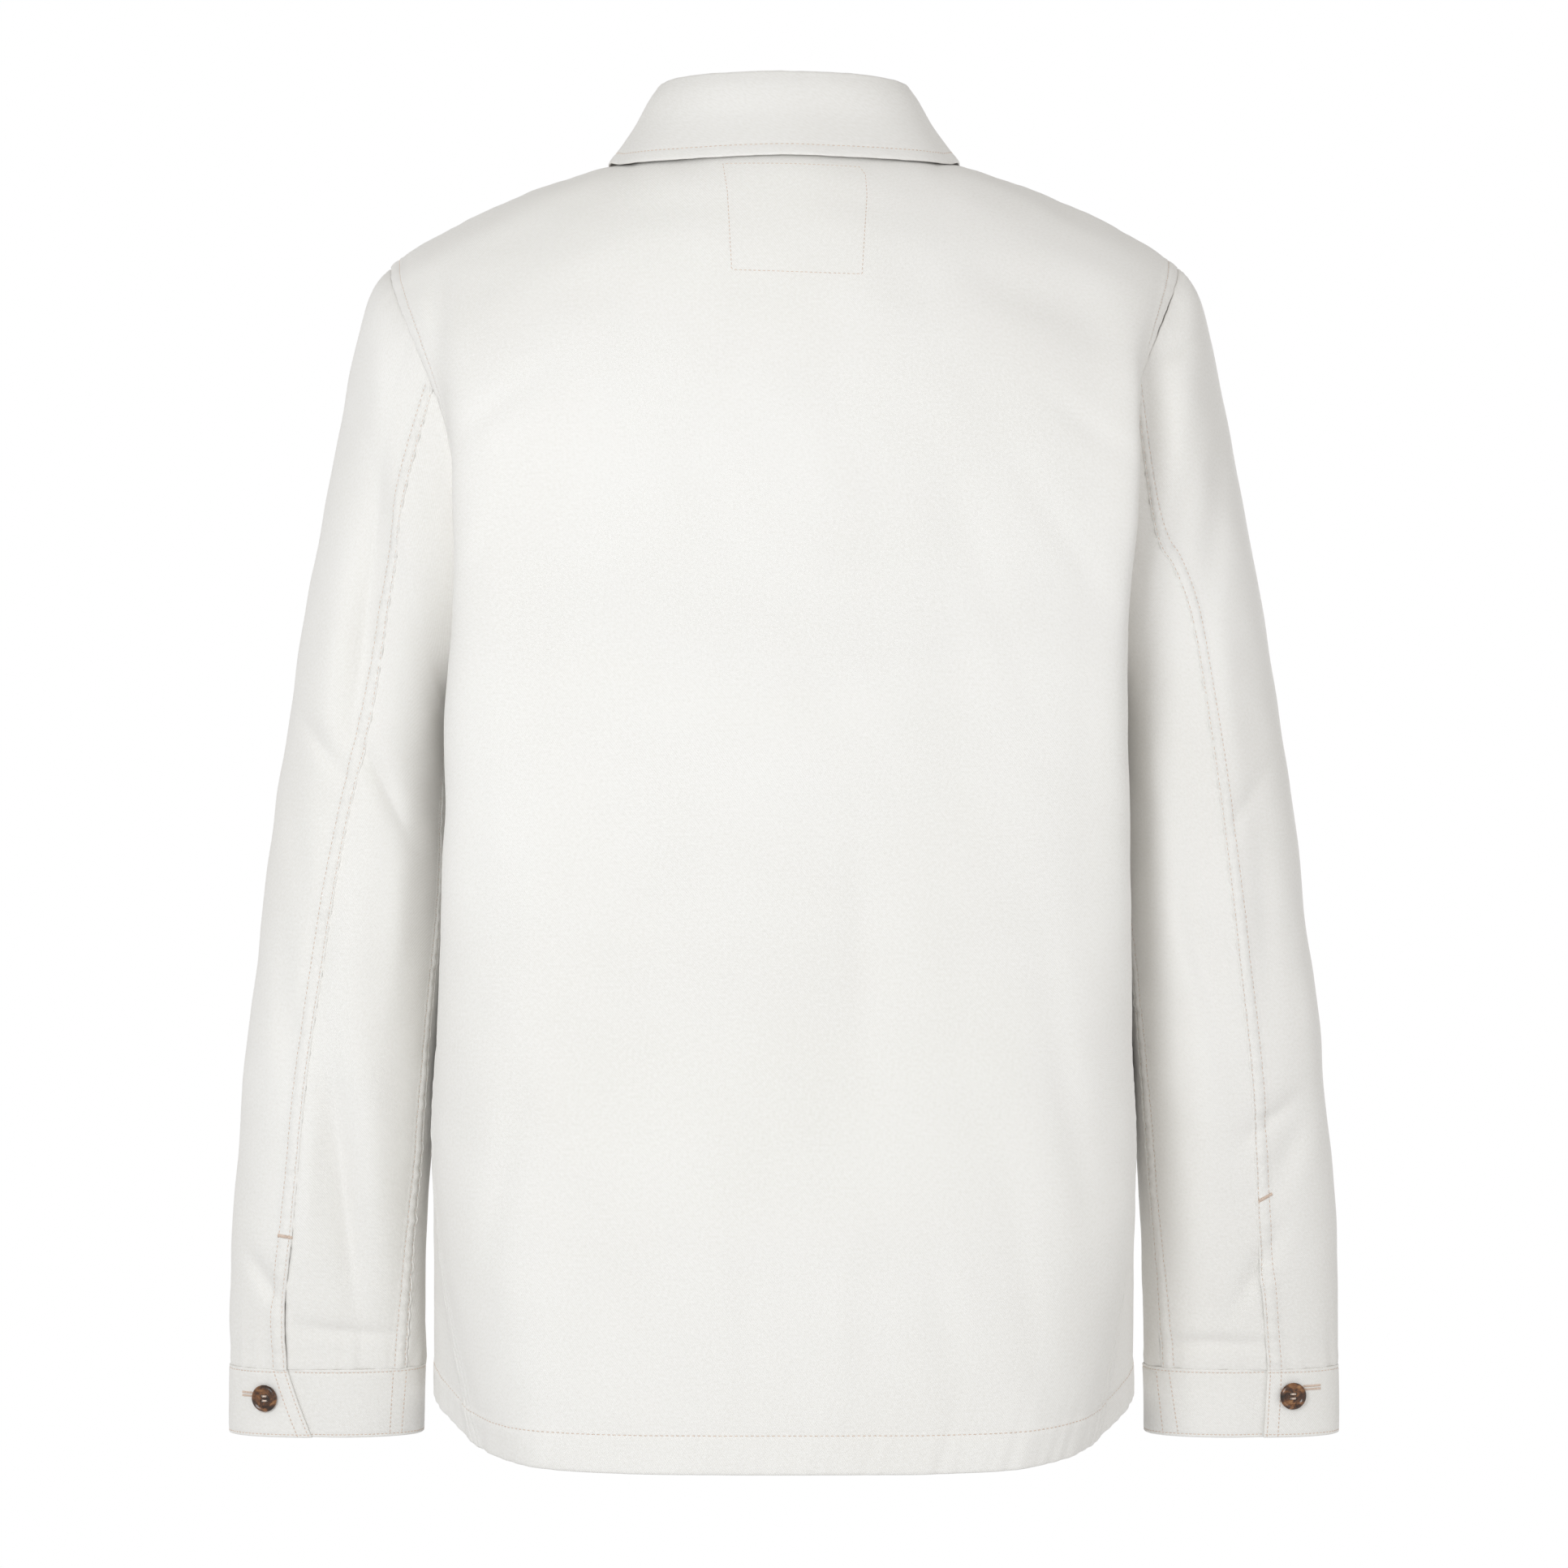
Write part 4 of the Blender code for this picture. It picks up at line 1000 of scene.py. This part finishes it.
    def armhole(self, side: Side, share: np.ndarray) -> np.ndarray:
        """Armhole from the underarm up the back to the shoulder (0.5) and down the front (1)."""
        column = -1 if side is Side.LEFT else 0
        line = np.concatenate([self.back[self.pit_row:, column], self.front[-2:self.pit_row - 1:-1, column]])
        even = np.linspace(0, 1, len(line))
        return np.stack([np.interp(share, even, line[:, k]) for k in range(3)], axis=-1)


# ---------------------------------------------------------------- sleeves

@dataclass
class Sleeve:
    """One sleeve: the upper and the under piece, and the cuff."""

    side: Side
    torso: Torso
    rows: int = 321
    columns: int = 401
    vent_top: float = -595.0
    cloth: dict[str, Panel] = field(default_factory=dict)

    def turn(self, row: tuple, share: np.ndarray) -> np.ndarray:
        """Angle round a ring for a share of the armhole, counted from the underarm round the back."""
        seam, under = row[6 if self.side is Side.LEFT else 7], row[8]
        behind = under + (seam - under) * share / SEAM_SHARE
        ahead = seam - (360 - under + seam) * (share - SEAM_SHARE) / (1 - SEAM_SHARE)
        return np.where(share <= SEAM_SHARE, behind, ahead)

    def tube(self, shares: np.ndarray) -> np.ndarray:
        """Fine grid down the sleeve from the cuff's seam up to the armhole.

        Args:
            shares: Places round the sleeve.

        Returns:
            The grid, with its first row at the cuff.
        """
        rings = [self.torso.armhole(self.side, shares)]
        for row in SLEEVE:
            ring = ring_points(row[0:2], row[2:4], row[4], row[5], self.turn(row, shares))
            rings.append(mirrored(ring, self.side))
        rings = np.array(rings)
        run = self.run(rings)
        grid = through(run, rings, np.linspace(0, run[-1], self.rows))
        middle = np.interp(grid[1:, :, 2], SLEEVE_MIDDLE_Z, SLEEVE_MIDDLE_Y)
        grid[1:] = creased(grid[1:], SLEEVE_FOLDS, middle, SLEEVE_TURN)
        return grid[::-1]

    def run(self, rings: np.ndarray) -> np.ndarray:
        """Mean distance down the sleeve to each ring, the same for both pieces."""
        if not hasattr(self, "ring_run"):
            self.ring_run = np.mean([chord(rings[:, c]) for c in range(rings.shape[1])], axis=0)
        return self.ring_run

    def shape(self) -> None:
        """Works out the panels."""
        whole = np.linspace(0, 1, self.columns)
        self.tube(whole)
        under = np.linspace(0, SEAM_SHARE + UNDERLAP_SHARE, int(self.columns * 0.4))
        upper = np.linspace(SEAM_SHARE, 1, int(self.columns * 0.8))
        sign, seed = self.side.sign, 5 if self.side is Side.LEFT else 8
        name = self.side.value
        self.cloth["sleeve_under_" + name] = Panel(
            f"sleeve_under_{name}_cloth", self.tube(under), -sign,
            {Border.BOTTOM: INTO_CUFF, Border.TOP: CUT_UNDER, Border.START: FELLED, Border.END: LAID_UNDER},
            2.6, seed=seed)
        upper_cloth = Panel(
            f"sleeve_upper_{name}_cloth", self.tube(upper), -sign,
            {Border.BOTTOM: INTO_CUFF, Border.TOP: CUT_UNDER, Border.START: FELLED, Border.END: PLAIN},
            2.6, seed=seed + 1)
        self.cloth["sleeve_upper_" + name] = upper_cloth
        # Below the bar tack the felled edge is open and stands a little off the cloth beneath.
        open_share = smooth_step((self.vent_top - upper_cloth.grid[..., 2]) / VENT_FADE)
        away = np.exp(-(upper_cloth.distance[Border.START] / VENT_REACH) ** 2)
        wavy = 1.0 + 0.5 * np.sin(upper_cloth.grid[..., 2] / VENT_WAVE + seed)
        upper_cloth.add(VENT_LIFT * open_share * away * wavy)
        cuff = Panel(f"cuff_{name}_cloth", self.cuff_grid(), -sign,
                     {Border.BOTTOM: CUFF_SEAM, Border.TOP: CUFF_HEM,
                      Border.START: VENT_EDGE, Border.END: CUFF_HEM},
                     2.0, CUFF_WALL, 0.4, seed + 2)
        self.cloth["cuff_" + name] = cuff

    def cuff_grid(self) -> np.ndarray:
        """Grid round the cuff from its top down, from the end beneath to the end that laps over it."""
        heights, *others = (np.array(column, float)[::-1] for column in zip(*CUFF_RINGS))
        rows = np.linspace(heights[-1], heights[0], 25)
        start = np.linspace(*CUFF_EDGE[self.side.value], len(rows))
        degrees = start[:, None] - CUFF_LAP + (360 + CUFF_LAP) * np.linspace(0, 1, 241)[None]
        grid = []
        for number, height in enumerate(rows):
            outer, inner, middle, depth = (through(heights, column, np.array([height]))[0]
                                           for column in others)
            ring = ring_points((outer, height), (inner, height), middle, depth, degrees[number])
            grid.append(mirrored(ring, self.side))
        grid = np.array(grid)
        normal = unit(np.cross(np.gradient(grid, axis=1), np.gradient(grid, axis=0))) * -self.side.sign
        sunk = 1 - smooth_step((degrees - start[:, None]) / CUFF_RAMP)
        return grid - normal * (sunk * (CUFF_WALL + CUFF_CLEAR))[..., None]


# ---------------------------------------------------------------- collar

@dataclass
class Collar:
    """The stand round the neck and the leaf that folds over it."""

    columns: int = 301
    cloth: dict[str, Panel] = field(default_factory=dict)

    def shape(self) -> None:
        """Works out the panels."""
        place = np.linspace(-1, 1, self.columns)
        share, way = np.abs(place), np.where(place < 0, -1.0, 1.0)
        run = np.interp(2 * (1 - share), (0, 0.5, 1), (1, THROAT_RUN, 0))
        rim = np.where((share <= 0.5)[:, None], from_centre(NECK_BACK, np.clip(share * 2, 0, 1)),
                       along(NECK_FRONT, np.clip(run, 0, 1)))
        rim[:, 0] = np.where(share > 0.5, np.maximum(rim[:, 0], FOLD_LINE[-1][0] / 2), rim[:, 0]) * way
        stations = np.array(COLLAR_STATIONS)
        knots = np.concatenate([-stations[:0:-1], stations])
        fold, edge = (through(knots, both_halves(line), place) for line in (FOLD_LINE, LEAF_EDGE))
        grown = smooth_step((share - STAND_LIFT_RUN[0]) / STAND_LIFT_RUN[1])
        foot = rim + (STAND_LIFT[0] + (STAND_LIFT[1] - STAND_LIFT[0]) * grown)[:, None] * (0, 0, 1)
        spread = unit((edge - fold) * (1, 1, 0))
        down = np.array([0, 0, -1.0])
        seam = fold - spread * FOLD_REACH * SEAM_REACH + down * FOLD_DROP
        turn = fold + spread * FOLD_REACH + down * FOLD_DROP * SEAM_REACH
        waist = (turn + edge) / 2 - spread * WAIST
        bend = np.array([seam, fold, turn, waist, edge])
        length = np.mean([chord(bend[:, k]) for k in range(len(rim))], axis=0)
        leaf = through(length, bend, np.linspace(0, length[-1], 61))
        stand = np.linspace(foot, seam, 31)
        self.cloth["collar_stand"] = Panel(
            "collar_stand_cloth", stand, 1, {Border.BOTTOM: PLAIN, Border.TOP: PLAIN},
            2.4, COLLAR_WALL, 0.4, 12)
        self.cloth["collar_leaf"] = Panel(
            "collar_leaf_cloth", leaf, 1,
            {Border.BOTTOM: PLAIN, Border.TOP: COLLAR_EDGE,
             Border.START: COLLAR_EDGE, Border.END: COLLAR_EDGE},
            2.2, COLLAR_WALL, 0.5, 13)


# ---------------------------------------------------------------- buttons

@dataclass
class Button:
    """Round four-hole button with a rim, sewn on with thread."""

    node: str
    width: float
    host: Panel
    from_back: bool
    height: float = 2.6
    sides: int = 40
    hole: float = 0.95
    hole_reach: float = 1.75

    def seat(self) -> Matrix:
        """Place and turn of the button on the cloth."""
        low, high = (np.array(corner, float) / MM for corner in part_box(self.node))
        middle = (low + high) / 2
        points, normals = Facing(self.host, self.from_back).points([(middle[0], middle[2]),
                                                                    (middle[0] + 0.1, middle[2])], 0.1)
        out = Vector(normals[0]).normalized()
        turn = out.to_track_quat("Z", "X").to_matrix().to_4x4()
        return Matrix.Translation(Vector((points[0] + np.array(out) * 0.25) * MM)) @ turn

    def build(self, resin: bpy.types.Material, thread: bpy.types.Material) -> None:
        """Makes the button and its thread.

        Args:
            resin: The button's material.
            thread: The thread's material.
        """
        seat, reach = self.seat(), self.width / 2
        rim = bmesh.new()
        profile = [(0.62, 0.16), (0.62, 0.62), (0.72, 0.9), (0.84, 1.0), (0.95, 0.86), (1.0, 0.6),
                   (0.98, 0.3), (0.84, 0.0), (0.66, 0.0)]
        ring = [rim.verts.new((r * reach * MM, 0, z * self.height * MM)) for r, z in profile]
        edges = [rim.edges.new(pair) for pair in zip(ring, ring[1:] + ring[:1])]
        bmesh.ops.spin(rim, geom=ring + edges, axis=(0, 0, 1), cent=(0, 0, 0), angle=2 * math.pi,
                       steps=self.sides, use_merge=True)
        bmesh.ops.remove_doubles(rim, verts=rim.verts, dist=1e-6)
        plate = bmesh.new()
        bmesh.ops.create_circle(plate, segments=self.sides, radius=reach * 0.66 * MM)
        for quarter in range(4):
            angle = math.pi / 4 + quarter * math.pi / 2
            x, y = (turn(angle) * self.hole_reach * MM for turn in (math.cos, math.sin))
            bmesh.ops.create_circle(plate, segments=14, radius=self.hole * MM,
                                    matrix=Matrix.Translation((x, y, 0)))
        bmesh.ops.triangle_fill(plate, use_beauty=True, use_dissolve=False, edges=plate.edges)
        bmesh.ops.translate(plate, verts=plate.verts, vec=(0, 0, self.height * 0.62 * MM))
        bmesh.ops.recalc_face_normals(plate, faces=plate.faces)
        made = bmesh.ops.extrude_face_region(plate, geom=plate.faces[:])
        low = [item for item in made["geom"] if isinstance(item, bmesh.types.BMVert)]
        bmesh.ops.translate(plate, verts=low, vec=(0, 0, -self.height * 0.42 * MM))
        bmesh.ops.recalc_face_normals(plate, faces=plate.faces)
        bmesh.ops.recalc_face_normals(rim, faces=rim.faces)
        mesh = bpy.data.meshes.new(self.node + "_resin")
        plate.to_mesh(mesh)
        rim.from_mesh(mesh)
        bmesh.ops.transform(rim, verts=rim.verts, matrix=seat)
        rim.to_mesh(mesh)
        plate.free()
        rim.free()
        mesh.materials.append(resin)
        mesh.shade_smooth()
        mesh.set_sharp_from_angle(angle=math.radians(38))
        piece = bpy.data.objects.new(self.node + "_resin", mesh)
        bpy.context.scene.collection.objects.link(piece)
        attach(piece, "root")
        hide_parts(self.node)
        self.sew(seat, thread)
        LOG.info("%s: %d faces", self.node, len(mesh.polygons))

    def sew(self, seat: Matrix, thread: bpy.types.Material) -> None:
        """Adds the thread that passes through the holes.

        Args:
            seat: Place and turn of the button.
            thread: The thread's material.
        """
        sewing = Sewing(self.node + "_thread", height=0.5)
        away = self.hole_reach * math.sqrt(0.5)
        for side in (-1, 1):
            for strand in (-0.32, 0.0, 0.32):
                start = Vector((side * away + strand, 0, 0.66 * self.height))
                spot = seat @ (start * MM)
                way = seat.to_3x3() @ Vector((0, 1, 0))
                out = seat.to_3x3() @ Vector((0, 0, 1))
                sewing.stitch(np.array(spot) / MM, np.array(way), np.array(out), 2 * away + 1.3, 0.42)
                for end in (-1, 1):
                    foot = seat @ (Vector((side * away + strand, end * away, 0.4 * self.height)) * MM)
                    sewing.stitch(np.array(foot) / MM, np.array(out), np.array(way), 1.8, 0.42)
        sewing.finish(thread)


# ---------------------------------------------------------------- jacket

@dataclass(frozen=True)
class Cut:
    """Flat size that a piece was cut to: width, length and, where it isn't a rectangle, its share of them."""

    width: float
    length: float
    share: float = 1.0


@dataclass
class Jacket:
    """The whole jacket."""

    twill: bpy.types.Material
    thread: bpy.types.Material
    resin: bpy.types.Material
    panels: dict[str, Panel] = field(default_factory=dict)

    def cut(self) -> None:
        """Works out every panel and makes its cloth."""
        self.torso = Torso()
        self.torso.shape()
        self.panels.update(self.torso.cloth)
        for side in Side:
            sleeve = Sleeve(side, self.torso)
            sleeve.shape()
            self.panels.update(sleeve.cloth)
        collar = Collar()
        collar.shape()
        self.panels.update(collar.cloth)
        for node, panel in self.panels.items():
            piece = panel.build(self.twill)
            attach(piece, "root")
            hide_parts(node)
            rows, columns = panel.outer.shape[:2]
            LOG.info("%s: %d x %d points, across %.0f, up %.0f", node, rows, columns,
                     panel.distance[Border.START].max(), panel.distance[Border.BOTTOM].max())

    def sew(self) -> None:
        """Adds the stitches."""
        panels, thread = self.panels, self.thread
        hem = Sewing("hem_stitches")
        for node in ("back", "front_left", "front_right"):
            hem.row(panels[node].line(Border.BOTTOM, HEM_STITCH, 0.01, 0.99))
        hem.finish(thread)
        for side in Side:
            name = side.value
            upper, under = panels["sleeve_upper_" + name], panels["sleeve_under_" + name]
            felled = Sewing(f"sleeve_seam_stitches_{name}")
            for distance in FELLED_STITCHES:
                felled.row(upper.line(Border.START, distance, 0.005, 0.985))
                felled.row(under.line(Border.START, distance, 0.005, 0.96))
            felled.finish(thread)
            arm = Sewing(f"armhole_stitches_{name}")
            border = Border.END if side is Side.LEFT else Border.START
            arm.row(self.above_pit(panels["back"].line(border, ARMHOLE_STITCH)))
            arm.row(self.above_pit(panels["front_" + name].line(Border.END, ARMHOLE_STITCH)))
            arm.finish(thread)
            cuff = Sewing(f"cuff_stitches_{name}", 2.3, 1.8)
            panel = panels["cuff_" + name]
            cuff.row(panel.line(Border.TOP, EDGE_STITCH, 0.1, 0.995))
            cuff.row(panel.line(Border.BOTTOM, EDGE_STITCH, 0.1, 0.995))
            cuff.row(panel.line(Border.END, EDGE_STITCH, 0.04, 0.96))
            cuff.row(panel.line(Border.END, FELLED_STITCHES[1], 0.04, 0.96))
            for line in CUFF_SEAM_ROWS[side.value]:
                cuff.row(Facing(panel).points(line))
            cuff.finish(thread)
        collar = Sewing("collar_stitches")
        leaf = panels["collar_leaf"]
        collar.row(leaf.line(Border.TOP, COLLAR_STITCH, 0.02, 0.98))
        for border in (Border.START, Border.END):
            collar.row(leaf.line(border, COLLAR_STITCH, 0.25, 0.88))
        collar.finish(thread)
        band = Sewing("front_stitches")
        left = panels["front_left"]
        band.row(left.line(Border.START, EDGE_STITCH, 0.005, 0.99))
        band.row(left.line(Border.START, BAND_STITCH, 0.005, 0.99))
        band.finish(thread)
        self.sew_details()

    def above_pit(self, line: tuple[np.ndarray, np.ndarray]) -> tuple[np.ndarray, np.ndarray]:
        """Part of a line down a torso panel's side that lies above the underarm."""
        points, out = line
        kept = points[:, 2] > PIT_Z
        return points[kept], out[kept]

    def sew_details(self) -> None:
        """Adds the patch's outline, the bar tacks and the buttonholes."""
        back = Facing(self.panels["back"])
        patch = Sewing("patch_stitches", 2.5, 1.9, 0.46, 0.3)
        corners = [(33, -12.5), (30.4, -29), (27.8, -73.5), (-41.5, -76), (-44.5, -31), (-43.8, -19),
                   (-40.6, -14.6), (32, -12.8)]
        patch.row(back.points(corners))
        patch.finish(self.thread)
        tacks = Sewing("bar_tacks", height=0.6)
        for side, ends in ((Side.LEFT, [(270.5, -596.5), (278.5, -595.5)]),
                           (Side.RIGHT, [(-260.5, -576), (-268, -572)])):
            tacks.bar(Facing(self.panels["sleeve_upper_" + side.value]).points(ends, 1.0), 2.4)
        tacks.finish(self.thread)
        holes = Sewing("buttonhole_stitches", height=0.5)
        for side, (far, near, z) in ((Side.LEFT, (300.5, 290, -685.5)), (Side.RIGHT, (-297.5, -287, -681.5))):
            cuff = Facing(self.panels["cuff_" + side.value])
            for offset in (-0.9, 0.9):
                holes.bar(cuff.points([(far, z + offset), (near, z + offset)], 1.0), 1.5)
        for number in range(1, 6):
            low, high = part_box(f"front_button_{number}")
            x, z = ((low[k] + high[k]) / 2 / MM for k in (0, 2))
            front = Facing(self.panels["front_left"], False)
            for offset in (-0.9, 0.9):
                holes.bar(front.points([(x + offset, z - 12), (x + offset, z + 12)], 1.0), 1.5)
        holes.finish(self.thread)

    def fasten(self) -> None:
        """Adds the buttons."""
        for side in Side:
            Button(f"cuff_button_{side.value}", 15.0, self.panels["cuff_" + side.value], True).build(
                self.resin, self.thread)
        for number in range(1, 6):
            Button(f"front_button_{number}", 18.0, self.panels["front_left"], False, hole_reach=2.1,
                   hole=1.05).build(self.resin, self.thread)


# ---------------------------------------------------------------- studio

@dataclass(frozen=True)
class Lamp:
    """A soft area light that faces the jacket."""

    name: str
    place: tuple[float, float, float]
    size: float
    power: float
    colour: tuple[float, float, float] = (1.0, 1.0, 1.0)


@dataclass
class Studio:
    """Floor, light and camera."""

    floor_z: float = -0.95
    reach: float = 7.0
    world: float = 0.58
    sky: tuple[float, float, float, float] = (1.0, 0.975, 0.935, 1.0)
    distance: float = 2.5
    height: float = -0.3472
    lens: float = 103.5
    sensor: float = 36.0
    lamps: tuple[Lamp, ...] = (
        Lamp("key", (0.62, 1.6, -0.04), 0.7, 11.2, (0.93, 0.968, 1.0)),
        Lamp("fill", (-2.2, 1.9, -0.3), 1.8, 9),
        Lamp("front_key", (-0.62, -1.6, -0.04), 0.7, 11.2, (0.93, 0.968, 1.0)),
        Lamp("front_fill", (2.2, -1.9, -0.3), 1.8, 9),
    )

    def build(self) -> None:
        """Makes the studio."""
        self.lay_floor()
        for lamp in self.lamps:
            self.hang(lamp)
        world = bpy.data.worlds.new("studio")
        world.use_nodes = True
        world.node_tree.nodes["Background"].inputs["Color"].default_value = self.sky
        world.node_tree.nodes["Background"].inputs["Strength"].default_value = self.world
        bpy.context.scene.world = world
        bpy.context.scene.view_settings.view_transform = "Standard"
        camera = bpy.data.cameras.new("camera")
        camera.lens, camera.sensor_width = self.lens, self.sensor
        viewer = bpy.data.objects.new("camera", camera)
        viewer.location = (0, self.distance, self.height)
        viewer.rotation_euler = (math.pi / 2, 0, math.pi)
        bpy.context.scene.collection.objects.link(viewer)
        bpy.context.scene.camera = viewer

    def lay_floor(self) -> None:
        """Lays the pale floor, which curves up into a wall all round."""
        built = bmesh.new()
        flat, bend = self.reach * 0.6, self.reach * 0.4
        curve = [(0.0, 0.0), (flat, 0.0)]
        curve += [(flat + bend * math.sin(a), bend * (1 - math.cos(a)))
                  for a in np.linspace(0.12, math.pi / 2, 12)]
        curve += [(self.reach, self.reach * 1.2)]
        line = [built.verts.new((r, 0, z + self.floor_z)) for r, z in curve]
        edges = [built.edges.new(pair) for pair in zip(line, line[1:])]
        bmesh.ops.spin(built, geom=line + edges, axis=(0, 0, 1), cent=(0, 0, 0), angle=2 * math.pi, steps=96,
                       use_merge=True)
        bmesh.ops.remove_doubles(built, verts=built.verts, dist=1e-5)
        bmesh.ops.recalc_face_normals(built, faces=built.faces)
        bmesh.ops.reverse_faces(built, faces=built.faces)
        mesh = bpy.data.meshes.new("floor")
        built.to_mesh(mesh)
        built.free()
        mesh.materials.append(Paper().build())
        mesh.shade_smooth()
        floor = bpy.data.objects.new("floor", mesh)
        bpy.context.scene.collection.objects.link(floor)

    def hang(self, lamp: Lamp) -> None:
        """Hangs a lamp so that it faces the jacket's middle.

        Args:
            lamp: The lamp.
        """
        light = bpy.data.lights.new(lamp.name, "AREA")
        light.shape, light.size = "DISK", lamp.size
        light.energy, light.color = lamp.power, lamp.colour
        hung = bpy.data.objects.new(lamp.name, light)
        hung.location = lamp.place
        to_jacket = Vector((0, 0, self.height)) - hung.location
        hung.rotation_euler = to_jacket.to_track_quat("-Z", "Y").to_euler()
        bpy.context.scene.collection.objects.link(hung)


def main() -> None:
    """Builds the jacket and its studio."""
    logging.basicConfig(level=logging.INFO, format="%(name)s: %(message)s")
    Studio().build()
    jacket = Jacket(Twill().build(), Thread().build(), Tortoiseshell().build())
    jacket.cut()
    jacket.sew()
    jacket.fasten()


if __name__ == "__main__":
    main()
